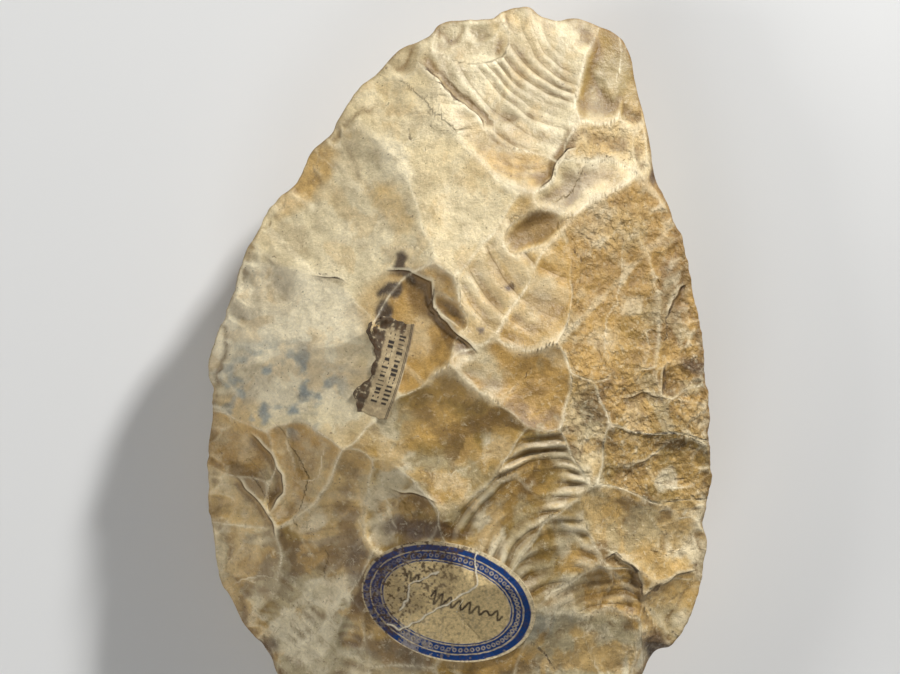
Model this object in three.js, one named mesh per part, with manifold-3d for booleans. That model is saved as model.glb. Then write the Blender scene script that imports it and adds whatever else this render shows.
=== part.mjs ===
// A large flint hand axe: a heavy oval-pointed tool, flaked on both faces, lying on its back face.
// Units are millimetres, +Z up. The point is towards +Y, and the origin is under the middle of the axe.
import * as THREE from "three";
import { mergeVertices } from "three/addons/utils/BufferGeometryUtils.js";
import Module from "manifold-3d";

// Driving dimensions of the stone
const LENGTH = 157;
const WIDTH = 101;
const FRONT_RISE = 24;
const BACK_RISE = 20;
// How much of the back's rounding is lost to the flat patch that the stone rests on
const REST_FLATTENING = 1.8;
// Exponent of the lens section: 2 is a parabola, more is boxier
const CROWN = 1.9;
// How far the cutting edge wanders up and down
const EDGE_WAVE = 2;
// A broad scar is cut from a surface that lies this share of the way from the rounding to its tangent
const PLANAR = 0.6;
// The scars are cut this many times deeper than the depths drawn below
const RELIEF = 1.8;
// Over this distance from the edge the scars grow to their full depth
const SCAR_FADE = 6;
// Over EDGE_BAND the faces leave the edge no flatter and no steeper than these slopes
const EDGE_SLOPE_MIN = 0.3;
const EDGE_SLOPE_MAX = 1.5;
const EDGE_BAND = 9;

// Driving dimensions of the two paper labels
const PAPER_THICKNESS = 0.25;
const PAPER_GAP = 0.3;
const OVAL_LENGTH = 35;
const OVAL_WIDTH = 23.3;
const OVAL_TURN = -15;
const STRIP_LENGTH = 19.5;
const STRIP_WIDTH = 5.6;
const STRIP_TURN = -106;
const CRUST_WIDTH = 4.2;

// Exponent of the rim of a scar: 2 is an ellipse, more is squarer. A chip ends at CHIP_RIM at the latest.
const RIM_SQUARENESS = 2.4;
const CHIP_RIM = 1.4;

// Fineness of the faceted model
const GRID_CELLS = 46;
const OUTLINE_STEPS = 720;
const SMOOTH_HARMONICS = 6;
const OVAL_SIDES = 48;
// A corner of the grid may slide this share of a cell to lie on a ridge between two scars
const RIDGE_SLIDE = 0.42;

// The layout below was drawn at this size, and every place in it is stretched to LENGTH and WIDTH
const DRAWN_LENGTH = 157.2;
const DRAWN_WIDTH = 101.2;
const STRETCH_X = WIDTH / DRAWN_WIDTH;
const STRETCH_Y = LENGTH / DRAWN_LENGTH;
// Highest place of both faces, and the places of the labels, in the layout
const CREST = [2, -6];
const OVAL_PLACE = [-2.3, -39.9];
const STRIP_PLACE = [-14.3, 6.2];

// Outline seen from above, clockwise from the tip
const OUTLINE = [
  [13.4, 78.6], [16.5, 76.8], [19.5, 75.9], [23.6, 76.5], [27.8, 75.0], [31.8, 72.7], [33.2, 70.6],
  [34.5, 67.5], [35.0, 64.0], [36.8, 57.0], [38.3, 51.0], [39.0, 45.0], [41.0, 40.8], [42.6, 36.4],
  [44.4, 33.0], [44.8, 30.2], [46.2, 24.6], [47.5, 18.0], [48.9, 10.5], [49.0, 5.0], [50.0, -1.0],
  [49.9, -9.0], [50.6, -16.0], [49.5, -21.5], [48.8, -25.0], [49.5, -28.6], [48.7, -33.5],
  [47.8, -39.5], [45.6, -45.5], [42.3, -49.5], [39.6, -50.4], [37.0, -54.0], [34.8, -60.0],
  [30.0, -68.5], [22.0, -75.0], [11.0, -78.2], [0.0, -78.6], [-11.0, -77.2], [-22.0, -72.0],
  [-30.5, -64.5], [-35.6, -57.0], [-38.5, -50.6], [-42.6, -46.0], [-45.6, -41.2], [-48.2, -35.2],
  [-49.6, -28.0], [-50.4, -20.5], [-50.6, -11.0], [-49.7, -3.5], [-49.6, 1.5], [-50.4, 5.8],
  [-49.2, 11.0], [-47.3, 16.2], [-45.2, 22.3], [-43.7, 27.0], [-41.3, 32.4], [-39.2, 36.4],
  [-37.5, 39.2], [-32.6, 43.8], [-29.6, 49.6], [-25.6, 53.0], [-24.4, 56.0], [-20.8, 61.4],
  [-16.6, 65.5], [-12.2, 69.8], [-8.6, 71.4], [-5.8, 73.0], [-4.0, 75.1], [0.2, 75.9], [6.4, 76.1],
  [8.6, 77.7],
];

// One flake scar: its middle, the way it runs in degrees, half its length and width, and its depth.
// fan widens it towards its far end, and a higher end gives it a flatter floor and a steeper end.
function scar(x, y, heading, reach, spread, depth, extra = {}) {
  return { x, y, heading, reach, spread, depth, fan: 0, end: 2, ...extra };
}

// The broad scars that meet along the ridges of the front
const FRONT_FACETS = [
  // Upper left: the two long facets beside the main ridge, and the plateau above them
  scar(-22, 37, -38, 30, 15.5, 1.35),
  scar(-2, 42, -57, 26, 11.5, 1.15, { fan: -0.1 }),
  scar(-13, 58, -38, 14, 9.5, 1.0),
  // The point, with its big rippled scar and the small facets to its right
  scar(10, 62, -70, 21, 14.5, 1.7, { end: 3 }),
  scar(10, 49, -28, 12, 5.5, 1.25),
  scar(30, 62.5, 55, 10.5, 5.5, 1.35),
  scar(29, 51, 15, 9, 5.5, 1.0),
  scar(24, 43, 30, 10.5, 5, 1.15),
  // Middle right: two hollows running down from the pit, and the long rough facet
  scar(8, 25, 60, 15, 8.5, 1.15, { fan: 0.2 }),
  scar(16, 20, 50, 15, 6, 1.0),
  scar(30, 24, 97, 20, 11, 1.2),
  scar(12, 4, -35, 13, 6, 0.9),
  // Left and centre
  scar(-35, 16, 20, 22, 9.5, 1.2),
  scar(-28, 3, 13, 27, 8.5, 1.25),
  scar(-9, 14, 65, 13, 7.5, 1.35, { end: 3 }),
  scar(-2, -8, 10, 18, 10, 1.1),
  // Lower left
  scar(-44, -11, 150, 9, 6, 1.5),
  scar(-46, -19, 150, 9, 5.5, 1.6),
  scar(-44, -33, 170, 10, 7.5, 1.4),
  scar(-30, -36, 70, 12, 8, 1.15),
  scar(-33, -13, 100, 10, 6.5, 1.1),
  scar(-24, -26, 70, 15, 8, 1.25, { fan: -0.3 }),
  scar(-13, -23, 100, 12, 6, 1.1),
  scar(-12, -42, 80, 15, 12, 1.1),
  // Lower right
  scar(12, -20, 48, 19, 10, 1.35),
  scar(19, -31, 60, 12, 8, 1.25),
  scar(26, -39, 12, 13, 5.5, 1.3),
  scar(20, -49, 30, 16, 9, 1.2),
  scar(6, -50, 60, 14, 10, 1.1),
  scar(37, -26, 170, 16, 8.5, 1.2),
  scar(37, -13, 160, 14, 7, 1.1),
  scar(38, 0, 175, 13, 7, 1.1),
  scar(25, -6, 90, 9, 5, 0.9),
  scar(43, -45, 110, 9, 6, 1.4),
  // Butt
  scar(-26, -50, 60, 13, 9, 1.2),
  scar(-12, -64, 85, 14, 12, 1.2),
  scar(12, -66, 95, 14, 12, 1.3),
];

// Smaller scars that are cut into the broad ones
const FRONT_CHIPS = [
  scar(-21, 51, -50, 7, 5, 0.7, { end: 3 }),
  scar(-17, 61, -50, 7, 4.5, 0.6, { end: 3 }),
  scar(-1.5, 73, -8, 8, 4.4, 0.7, { end: 3 }),
  scar(-1, 57.5, -52, 7.5, 4.2, 0.45, { end: 3 }),
  scar(25, 74.5, -125, 4.5, 3.4, 0.7, { end: 3 }),
  scar(35, 65, -85, 9, 2.6, 0.7, { end: 3 }),
  scar(16.5, 33.8, 22, 7.5, 3.6, 1.0, { end: 3 }),
  scar(-2, 17.5, -40, 3.5, 1.6, 0.35, { end: 3 }),
  scar(-42, 26, -30, 8, 5, 0.8, { end: 3 }),
  scar(-31, -9, 95, 5, 2.6, 0.4, { end: 3 }),
  scar(-36, -22, 60, 5, 3.5, 0.5, { end: 4 }),
  scar(-8, -22.5, 5, 6, 4, 0.35, { end: 3 }),
  scar(-38, -47, 60, 9, 5, 0.9, { end: 3 }),
  scar(42, 31, -70, 12, 4.5, 1.2, { end: 4 }),
  scar(44, 16, -85, 11, 5, 1.2, { end: 4 }),
  scar(46, 6, 200, 6, 4, 1.3, { end: 4 }),
  scar(38, 47, -80, 6, 3, 0.8, { end: 4 }),
  scar(44, -13, 180, 6, 4, 1.0, { end: 4 }),
];

// A step: the stone to the right of the way along the points drops, then rises back over fade.
// A drop under zero lowers the left side.
function step(points, drop, fade) {
  return { points, drop, fade };
}

const STEP_WALL = 2.6;
const FRONT_STEPS = [
  // The cliff under the upper left edge
  step([[4.8, 52.8], [4.5, 55.1], [2.6, 57.4], [-1.8, 60.5], [-5, 64.3], [-8.9, 68.1]], 2.0, 6),
  // The hollow beside the strip
  step([[3.7, 8.8], [2, 11], [-5.9, 18], [-5.4, 20], [-5.6, 23.4], [-10, 25.6], [-15, 25.6]], -1.3, 7),
  // Two cliffs at the left edge
  step([[-42, -6], [-38, -11], [-35.5, -15], [-35.5, -19], [-38, -23]], 1.8, 6),
  step([[-45, -14.5], [-40, -20], [-38, -23], [-36.5, -28]], 1.5, 6),
  // The step at the lower right
  step([[28, -32], [31, -30.5], [35, -34], [36.5, -39], [38, -38.5], [42, -36], [48.5, -34]], 1.2, 6),
];

// The back is plainer: one ring of broad scars struck from the edge around an uncut middle
const BACK_SCAR_COUNT = 13;
const BACK_SCAR_DEPTH = 1.9;
const BACK_SCAR_MIDDLE = 0.72;
const BACK_SCAR_REACH = 0.36;

// A repeatable number from 0 to 1 for each index
function scatter(index) {
  const wave = Math.sin(index * 12.9898 + 4.1414) * 43758.5453;
  return wave - Math.floor(wave);
}

// The outline as a table of radii about the crest, at even angles
function outlineTable() {
  const points = OUTLINE.map(([x, y]) => new THREE.Vector3(x - CREST[0], y - CREST[1], 0));
  const curve = new THREE.CatmullRomCurve3(points, true, "catmullrom", 0.5);
  const samples = curve.getPoints(OUTLINE_STEPS * 2)
    .map((p) => ({ angle: Math.atan2(p.y, p.x), radius: Math.hypot(p.x, p.y) }))
    .sort((a, b) => a.angle - b.angle);
  const last = samples[samples.length - 1];
  samples.unshift({ angle: last.angle - 2 * Math.PI, radius: last.radius });
  samples.push({ angle: samples[1].angle + 2 * Math.PI, radius: samples[1].radius });
  const table = [];
  let at = 0;
  for (let step = 0; step < OUTLINE_STEPS; step++) {
    const angle = -Math.PI + (2 * Math.PI * step) / OUTLINE_STEPS;
    while (samples[at + 1].angle < angle) {
      at++;
    }
    const [a, b] = [samples[at], samples[at + 1]];
    const share = (angle - a.angle) / Math.max(b.angle - a.angle, 1e-9);
    table.push(a.radius + (b.radius - a.radius) * share);
  }
  return table;
}

// The same table with only its first harmonics, for the rounding of the faces
function smoothTable(table) {
  const steps = table.length;
  const smooth = new Array(steps).fill(0);
  for (let harmonic = 0; harmonic <= SMOOTH_HARMONICS; harmonic++) {
    let cosine = 0;
    let sine = 0;
    for (let step = 0; step < steps; step++) {
      const phase = (2 * Math.PI * harmonic * step) / steps;
      cosine += table[step] * Math.cos(phase);
      sine += table[step] * Math.sin(phase);
    }
    const weight = (harmonic === 0 ? 1 : 2) / steps;
    for (let step = 0; step < steps; step++) {
      const phase = (2 * Math.PI * harmonic * step) / steps;
      smooth[step] += weight * (cosine * Math.cos(phase) + sine * Math.sin(phase));
    }
  }
  return smooth;
}

const OUTLINE_RADII = outlineTable();
const SMOOTH_RADII = smoothTable(OUTLINE_RADII);

function radiusAt(table, angle) {
  const place = ((angle + Math.PI) / (2 * Math.PI)) * table.length;
  const low = Math.floor(place);
  const share = place - low;
  const size = table.length;
  return table[(low + size) % size] * (1 - share) + table[(low + 1) % size] * share;
}

function backScars() {
  const scars = [];
  for (let k = 0; k < BACK_SCAR_COUNT; k++) {
    const angle = (2 * Math.PI * (k + 0.3 * scatter(k))) / BACK_SCAR_COUNT;
    const radius = radiusAt(SMOOTH_RADII, angle > Math.PI ? angle - 2 * Math.PI : angle);
    const middle = radius * (BACK_SCAR_MIDDLE + 0.06 * scatter(k + 40));
    const spread = ((Math.PI * middle) / BACK_SCAR_COUNT) * (1.15 + 0.3 * scatter(k + 20));
    const x = CREST[0] + middle * Math.cos(angle);
    const y = CREST[1] + middle * Math.sin(angle);
    const heading = THREE.MathUtils.radToDeg(angle) + 24 * (scatter(k + 60) - 0.5);
    const depth = BACK_SCAR_DEPTH * (0.8 + 0.4 * scatter(k + 80));
    scars.push(scar(x, y, heading, radius * BACK_SCAR_REACH, spread, depth, { fan: -0.15 }));
  }
  return scars;
}

// A gentle wander of a few tenths of a millimetre, so that no scar has a drawn look
function wander(x, y) {
  const across = 0.5 * Math.sin(0.23 * y + 1.3) + 0.35 * Math.sin(0.31 * x + 0.27 * y + 0.7);
  const along = 0.5 * Math.sin(0.21 * x + 0.4) + 0.35 * Math.sin(0.29 * y - 0.33 * x + 2.1);
  return [x + across + 0.2 * Math.sin(0.71 * y - 0.4 * x), y + along + 0.2 * Math.sin(0.63 * x + 0.5 * y)];
}

// The plain rounding of a face
function dome(rise, x, y) {
  const angle = Math.atan2(y - CREST[1], x - CREST[0]);
  const out = Math.hypot(x - CREST[0], y - CREST[1]);
  return rise * (1 - Math.min(out / radiusAt(SMOOTH_RADII, angle), 1.2) ** CROWN);
}

// How far out in a scar a place is: 0 at its middle, 1 at its rim
function rimShare(flake, x, y) {
  const turn = THREE.MathUtils.degToRad(flake.heading);
  const dx = x - flake.x;
  const dy = y - flake.y;
  const along = (dx * Math.cos(turn) + dy * Math.sin(turn)) / flake.reach;
  const half = flake.spread * THREE.MathUtils.clamp(1 + flake.fan * along, 0.15, 3);
  const across = (dy * Math.cos(turn) - dx * Math.sin(turn)) / half;
  return (Math.abs(along) ** RIM_SQUARENESS + Math.abs(across) ** RIM_SQUARENESS) ** (1 / RIM_SQUARENESS);
}

// Gives each scar the plane that it is cut from, laid on the surface that was there before
function placeOn(scars, under) {
  for (const flake of scars) {
    const apart = 0.35 * Math.min(flake.reach, flake.spread);
    const heights = [[0, 0], [apart, 0], [-apart, 0], [0, apart], [0, -apart]]
      .map(([dx, dy]) => under(flake.x + dx, flake.y + dy));
    flake.level = heights.reduce((sum, height) => sum + height, 0) / heights.length;
    flake.slope = [(heights[1] - heights[2]) / (2 * apart), (heights[3] - heights[4]) / (2 * apart)];
  }
  return scars;
}

function planeHeight(flake, x, y) {
  return flake.level + flake.slope[0] * (x - flake.x) + flake.slope[1] * (y - flake.y);
}

// The lowest scar at a place of a face, and the next lowest, as heights over the edge
function scarSurface(face, chips, x, y) {
  const [wx, wy] = wander(x, y);
  const base = dome(face.rise, x, y);
  let lowest = face.keepsMiddle ? base : Infinity;
  let second = Infinity;
  const cut = (level) => {
    second = Math.min(second, Math.max(level, lowest));
    lowest = Math.min(lowest, level);
  };
  for (const flake of face.facets) {
    const depth = RELIEF * flake.depth * (1 - rimShare(flake, wx, wy) ** flake.end);
    cut(base + PLANAR * (planeHeight(flake, x, y) - base) - depth);
  }
  for (const flake of chips) {
    const rim = rimShare(flake, wx, wy);
    if (rim < CHIP_RIM) {
      cut(planeHeight(flake, x, y) - RELIEF * flake.depth * (1 - rim ** flake.end));
    }
  }
  return [lowest, second];
}

// keepsMiddle leaves the rounding as it is where no scar reaches
function makeFace(rise, facets, chips, steps, keepsMiddle) {
  const face = { rise, facets, chips, steps, keepsMiddle };
  placeOn(facets, (x, y) => dome(rise, x, y));
  placeOn(chips, (x, y) => scarSurface(face, [], x, y)[0]);
  return face;
}

// Distance to a line of points, its side (1 to the right, -1 to the left) and a fade to its ends
function nearLine(points, x, y) {
  let [distance, side, along, length] = [Infinity, 0, 0, 0];
  for (let k = 1; k < points.length; k++) {
    const [[ax, ay], [bx, by]] = [points[k - 1], points[k]];
    const span = Math.hypot(bx - ax, by - ay);
    const [ux, uy] = [(bx - ax) / span, (by - ay) / span];
    const t = THREE.MathUtils.clamp((x - ax) * ux + (y - ay) * uy, 0, span);
    const apart = Math.hypot(x - ax - t * ux, y - ay - t * uy);
    if (apart < distance) {
      distance = apart;
      side = Math.sign((x - ax) * uy - (y - ay) * ux);
      along = length + t;
    }
    length += span;
  }
  return [distance, side, THREE.MathUtils.smoothstep(Math.min(along, length - along), 0, 3)];
}

// How far the steps lower a face at a place
function stepDepth(steps, x, y) {
  let lowered = 0;
  for (const { points, drop, fade } of steps) {
    const [distance, side, taper] = nearLine(points, x, y);
    const past = distance * side * Math.sign(drop);
    const fall = THREE.MathUtils.smoothstep(past, 0, STEP_WALL) * taper;
    lowered += Math.abs(drop) * fall * Math.exp(-Math.max(past, 0) / fade);
  }
  return lowered;
}

// Slides a place onto the ridge beside it, where two scars are equally low, if that is near enough
function slideToRidge(face, x, y, limit) {
  const apart = 0.05;
  const lead = (px, py) => {
    const [lowest, second] = scarSurface(face, face.chips, px, py);
    return second - lowest;
  };
  let [ridgeX, ridgeY] = [x, y];
  for (let round = 0; round < 3; round++) {
    const slopeX = (lead(ridgeX + apart, ridgeY) - lead(ridgeX - apart, ridgeY)) / (2 * apart);
    const slopeY = (lead(ridgeX, ridgeY + apart) - lead(ridgeX, ridgeY - apart)) / (2 * apart);
    const share = lead(ridgeX, ridgeY) / (slopeX ** 2 + slopeY ** 2 + 1e-6);
    ridgeX -= slopeX * share;
    ridgeY -= slopeY * share;
    if (Math.hypot(ridgeX - x, ridgeY - y) > limit) {
      return [x, y];
    }
  }
  return [ridgeX, ridgeY];
}

// Height of a face over the edge, in the drawn layout
function faceHeight(face, x, y) {
  const angle = Math.atan2(y - CREST[1], x - CREST[0]);
  const out = Math.hypot(x - CREST[0], y - CREST[1]);
  const inward = Math.max(radiusAt(OUTLINE_RADII, angle) - out, 0);
  const base = dome(face.rise, x, y);
  const cut = base - scarSurface(face, face.chips, x, y)[0] + stepDepth(face.steps, x, y);
  const height = base - (cut * inward) / (inward + SCAR_FADE);
  return THREE.MathUtils.clamp(height, EDGE_SLOPE_MIN * Math.min(inward, EDGE_BAND), EDGE_SLOPE_MAX * inward);
}

// Height of the surface that the cutting edge lies in. It wanders at the edge and is level in the middle.
function edgeHeight(x, y) {
  const angle = Math.atan2(y - CREST[1], x - CREST[0]);
  const rim = Math.hypot(x - CREST[0], y - CREST[1]) / radiusAt(SMOOTH_RADII, angle);
  const wave = (Math.sin(3 * angle + 0.6) + 0.5 * Math.sin(7 * angle + 2)) / 1.5;
  return BACK_RISE + EDGE_WAVE * wave * rim ** 3;
}

// A square of cells bent to the outline: each grid corner as a place in the drawn layout
function gridPlace(i, j, face) {
  const a = (2 * i) / GRID_CELLS - 1;
  const b = (2 * j) / GRID_CELLS - 1;
  if (a === 0 && b === 0) {
    return [CREST[0], CREST[1]];
  }
  const wide = Math.abs(a) > Math.abs(b);
  const out = wide ? a : b;
  const turn = wide ? (Math.PI / 4) * (b / a) : Math.PI / 2 - (Math.PI / 4) * (a / b);
  const angle = Math.atan2(out * Math.sin(turn), out * Math.cos(turn));
  const share = Math.abs(out);
  const inner = radiusAt(SMOOTH_RADII, angle);
  const outer = radiusAt(OUTLINE_RADII, angle);
  const radius = share * (inner + (outer - inner) * share ** 3);
  const [x, y] = [CREST[0] + radius * Math.cos(angle), CREST[1] + radius * Math.sin(angle)];
  if (share > 1 - 1.5 / GRID_CELLS) {
    return [x, y];
  }
  return slideToRidge(face, x, y, (RIDGE_SLIDE * 1.7 * inner) / GRID_CELLS);
}

// Triangles of one face. Each cell is split along the diagonal that lies closer to the real surface.
function faceTriangles(face, heightAt, upward, triangles) {
  const point = (i, j) => {
    const [x, y] = gridPlace(i, j, face);
    return new THREE.Vector3(x, y, heightAt(x, y));
  };
  const rows = [];
  for (let i = 0; i <= GRID_CELLS; i++) {
    rows.push([]);
    for (let j = 0; j <= GRID_CELLS; j++) {
      rows[i].push(point(i, j));
    }
  }
  for (let i = 0; i < GRID_CELLS; i++) {
    for (let j = 0; j < GRID_CELLS; j++) {
      const [p, q, r, s] = [rows[i][j], rows[i + 1][j], rows[i + 1][j + 1], rows[i][j + 1]];
      const middle = new THREE.Vector3().addVectors(p, r).add(q).add(s).multiplyScalar(0.25);
      const level = heightAt(middle.x, middle.y);
      const first = Math.abs((p.z + r.z) / 2 - level) <= Math.abs((q.z + s.z) / 2 - level);
      const pair = first ? [[p, q, r], [p, r, s]] : [[p, q, s], [q, r, s]];
      for (const [u, v, w] of pair) {
        triangles.push(...(upward ? [u, v, w] : [u, w, v]));
      }
    }
  }
}

function stoneGeometry() {
  const front = makeFace(FRONT_RISE, FRONT_FACETS, FRONT_CHIPS, FRONT_STEPS, false);
  const back = makeFace(BACK_RISE + REST_FLATTENING, backScars(), [], [], true);
  const frontZ = (x, y) => edgeHeight(x, y) + faceHeight(front, x, y);
  const backZ = (x, y) => Math.max(edgeHeight(x, y) - faceHeight(back, x, y), 0);
  const triangles = [];
  faceTriangles(front, frontZ, true, triangles);
  faceTriangles(back, backZ, false, triangles);
  const geometry = new THREE.BufferGeometry().setFromPoints(triangles);
  geometry.scale(STRETCH_X, STRETCH_Y, 1);
  return mergeVertices(geometry, 1e-4);
}

function ovalShape() {
  const shape = new THREE.Shape();
  shape.absellipse(0, 0, OVAL_LENGTH / 2, OVAL_WIDTH / 2, 0, 2 * Math.PI, false, 0);
  return shape;
}

// The printed strip has a clean right side, torn ends and a ragged crust of old paper on its left
function stripShape() {
  const half = STRIP_LENGTH / 2;
  const side = STRIP_WIDTH / 2;
  const tears = 9;
  const shape = new THREE.Shape();
  shape.moveTo(-half, side);
  shape.quadraticCurveTo(0, side + 0.8, half, side - 0.6);
  shape.lineTo(half - 0.8, -side);
  for (let tear = 0; tear <= tears; tear++) {
    const along = half - 0.8 - ((STRIP_LENGTH + 3) * tear) / tears;
    const ragged = side + CRUST_WIDTH * (0.35 + 0.65 * scatter(tear + 7));
    shape.lineTo(along, -ragged);
  }
  shape.lineTo(-half - 2.4, -side * 0.3);
  shape.lineTo(-half - 0.4, side * 0.2);
  shape.closePath();
  return shape;
}

function manifoldOf(wasm, geometry) {
  const vertProperties = new Float32Array(geometry.attributes.position.array);
  const triVerts = new Uint32Array(geometry.index.array);
  return new wasm.Manifold(new wasm.Mesh({ numProp: 3, vertProperties, triVerts }));
}

// A sheet of even thickness that follows the stone, cut to a shape seen from above
function paperGeometry(wasm, stone, shape, place, turn) {
  const prism = new THREE.ExtrudeGeometry(shape, {
    depth: FRONT_RISE + BACK_RISE,
    bevelEnabled: false,
    curveSegments: OVAL_SIDES / 4,
  });
  prism.deleteAttribute("normal");
  prism.deleteAttribute("uv");
  prism.rotateZ(THREE.MathUtils.degToRad(turn));
  prism.translate(place[0] * STRETCH_X, place[1] * STRETCH_Y, BACK_RISE);
  const lifted = stone.translate([0, 0, PAPER_GAP + PAPER_THICKNESS]);
  const sheet = lifted.subtract(stone.translate([0, 0, PAPER_GAP]));
  const paper = sheet.intersect(manifoldOf(wasm, mergeVertices(prism, 1e-4))).getMesh();
  const geometry = new THREE.BufferGeometry();
  geometry.setAttribute("position", new THREE.BufferAttribute(paper.vertProperties, 3));
  geometry.setIndex(new THREE.BufferAttribute(paper.triVerts, 1));
  return geometry;
}

const FLINT = new THREE.MeshStandardMaterial({ color: 0xc2b189, roughness: 0.5, metalness: 0 });
const OVAL_PAPER = new THREE.MeshStandardMaterial({ color: 0x2d4a7c, roughness: 0.7, metalness: 0 });
const STRIP_PAPER = new THREE.MeshStandardMaterial({ color: 0x8a7460, roughness: 0.8, metalness: 0 });

function piece(name, geometry, material) {
  const mesh = new THREE.Mesh(geometry, material);
  mesh.name = name;
  return mesh;
}

const wasm = await Module();
wasm.setup();

const stoneForm = stoneGeometry();
const stoneSolid = manifoldOf(wasm, stoneForm);
const group = new THREE.Group();
group.add(piece("hand_axe", stoneForm, FLINT));
const oval = paperGeometry(wasm, stoneSolid, ovalShape(), OVAL_PLACE, OVAL_TURN);
group.add(piece("oval_label", oval, OVAL_PAPER));
const strip = paperGeometry(wasm, stoneSolid, stripShape(), STRIP_PLACE, STRIP_TURN);
group.add(piece("printed_strip", strip, STRIP_PAPER));

export default group;
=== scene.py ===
# A large flint hand axe on a pale floor, seen from straight above.
# The layout is in millimetres: +X across the axe, +Y to its point. The scene is in metres.
import math

import bpy
import numpy as np
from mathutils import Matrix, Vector


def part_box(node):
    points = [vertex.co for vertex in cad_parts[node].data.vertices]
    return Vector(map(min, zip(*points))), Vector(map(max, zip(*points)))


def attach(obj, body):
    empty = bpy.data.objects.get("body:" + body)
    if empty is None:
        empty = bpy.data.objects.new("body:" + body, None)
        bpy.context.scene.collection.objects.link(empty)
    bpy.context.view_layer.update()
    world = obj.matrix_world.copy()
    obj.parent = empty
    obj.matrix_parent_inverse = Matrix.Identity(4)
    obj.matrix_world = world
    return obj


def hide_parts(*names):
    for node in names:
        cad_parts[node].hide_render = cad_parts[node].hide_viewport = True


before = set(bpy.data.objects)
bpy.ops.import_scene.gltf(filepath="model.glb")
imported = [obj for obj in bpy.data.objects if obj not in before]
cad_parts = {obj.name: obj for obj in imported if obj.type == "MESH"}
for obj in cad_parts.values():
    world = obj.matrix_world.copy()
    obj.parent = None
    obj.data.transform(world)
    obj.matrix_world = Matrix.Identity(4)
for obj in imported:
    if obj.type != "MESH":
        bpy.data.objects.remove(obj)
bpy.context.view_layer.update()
MM = 0.001
# Stands for a height or a distance beyond any other, in millimetres
FAR = 1e9

# The stone was drawn at this size, and is stretched to the frame's own box
BOX_LOW, BOX_HIGH = (Vector(corner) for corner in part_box("hand_axe"))
DRAWN_LENGTH = 157.2
DRAWN_WIDTH = 101.2
STRETCH_X = (BOX_HIGH.x - BOX_LOW.x) / MM / DRAWN_WIDTH
STRETCH_Y = (BOX_HIGH.y - BOX_LOW.y) / MM / DRAWN_LENGTH

# Rounding of the two faces over the cutting edge
FRONT_RISE = 24
BACK_RISE = 20
# How much of the back's rounding is lost to the flat patch that the stone rests on
REST_FLATTENING = 1.8
# Exponent of the lens section: 2 is a parabola, more is boxier
CROWN = 1.9
# How far the cutting edge wanders up and down, how thick it is, and the highest place of both faces
EDGE_WAVE = 2
EDGE_BLUNTNESS = 0.3
CREST = (2, -6)

# A broad scar is cut from a surface this share of the way from the rounding to its tangent
PLANAR = 0.6
# The scars are cut this many times deeper than the depths drawn below
RELIEF = 1.8
# At this distance from the edge a scar has half its full depth
SCAR_FADE = 6
# A scar's rim is an ellipse at 2, and squarer above it
RIM_SQUARENESS = 2.4
# A chip cuts nothing beyond this share of its half size
CHIP_RIM = 1.4
# Two scars that are closer in height than this round off the ridge between them
RIDGE_SOFTNESS = 0.12
CHIP_SOFTNESS = 0.6
# At the first distance from the edge a nick has half its depth, and over the second it dies out
NICK_FADE = 1.2
NICK_WIDTH = 5
# The scars have smaller and shallower scars in them, all over
SCALLOP_DEPTH = 0.36
# Over EDGE_BAND the faces leave the edge no flatter than the first slope, and nowhere steeper than
# the second
EDGE_SLOPE_MIN = 0.3
EDGE_SLOPE_MAX = 1.5
EDGE_BAND = 9
# Width of a step's wall
STEP_WALL = 1.2

# Cells along each side of the grids: the front is fine, the back and the undersides are coarse
FRONT_CELLS = 272
BACK_CELLS = 136
LABEL_CELLS = 180
STRIP_CELLS = 90
UNDER_CELLS = 30
# The rounding of the faces follows the outline smoothed to this many waves around it
SMOOTH_HARMONICS = 6

# Outline seen from above, clockwise from the tip, as drawn
OUTLINE = [
    (13.4, 78.6), (16.5, 76.8), (19.5, 75.9), (23.6, 76.5), (27.8, 75.0), (31.8, 72.7),
    (33.2, 70.6), (34.5, 67.5), (35.0, 64.0), (36.8, 57.0), (38.3, 51.0), (39.0, 45.0),
    (41.0, 40.8), (42.6, 36.4), (44.4, 33.0), (44.8, 30.2), (46.2, 24.6), (47.5, 18.0),
    (48.9, 10.5), (49.0, 5.0), (50.0, -1.0), (49.9, -9.0), (50.6, -16.0), (49.5, -21.5),
    (48.8, -25.0), (49.5, -28.6), (48.7, -33.5), (47.8, -39.5), (45.6, -45.5), (42.3, -49.5),
    (39.6, -50.4), (37.0, -54.0), (34.8, -60.0), (30.0, -68.5), (22.0, -75.0), (11.0, -78.2),
    (0.0, -78.6), (-11.0, -77.2), (-22.0, -72.0), (-30.5, -64.5), (-35.6, -57.0), (-38.5, -50.6),
    (-42.6, -46.0), (-45.6, -41.2), (-48.2, -35.2), (-49.6, -28.0), (-50.4, -20.5), (-50.6, -11.0),
    (-49.7, -3.5), (-49.6, 1.5), (-50.4, 5.8), (-49.2, 11.0), (-47.3, 16.2), (-45.2, 22.3),
    (-43.7, 27.0), (-41.3, 32.4), (-39.2, 36.4), (-37.5, 39.2), (-32.6, 43.8), (-29.6, 49.6),
    (-25.6, 53.0), (-24.4, 56.0), (-20.8, 61.4), (-16.6, 65.5), (-12.2, 69.8), (-8.6, 71.4),
    (-5.8, 73.0), (-4.0, 75.1), (0.2, 75.9), (6.4, 76.1), (8.6, 77.7),
]

# Colours of the stone, as they look on screen
CREAM = (228, 208, 162)
BRIGHT = (242, 228, 192)
PALE = (220, 204, 164)
GREY = (186, 170, 130)
BLUE_GREY = (146, 150, 142)
SAND = (210, 178, 118)
OCHRE = (202, 162, 90)
TAN = (182, 144, 78)
OLIVE = (156, 126, 62)
BROWN = (120, 90, 44)
DARK = (80, 58, 36)
SOIL = (84, 58, 30)
CRUST = (82, 68, 52)


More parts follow.
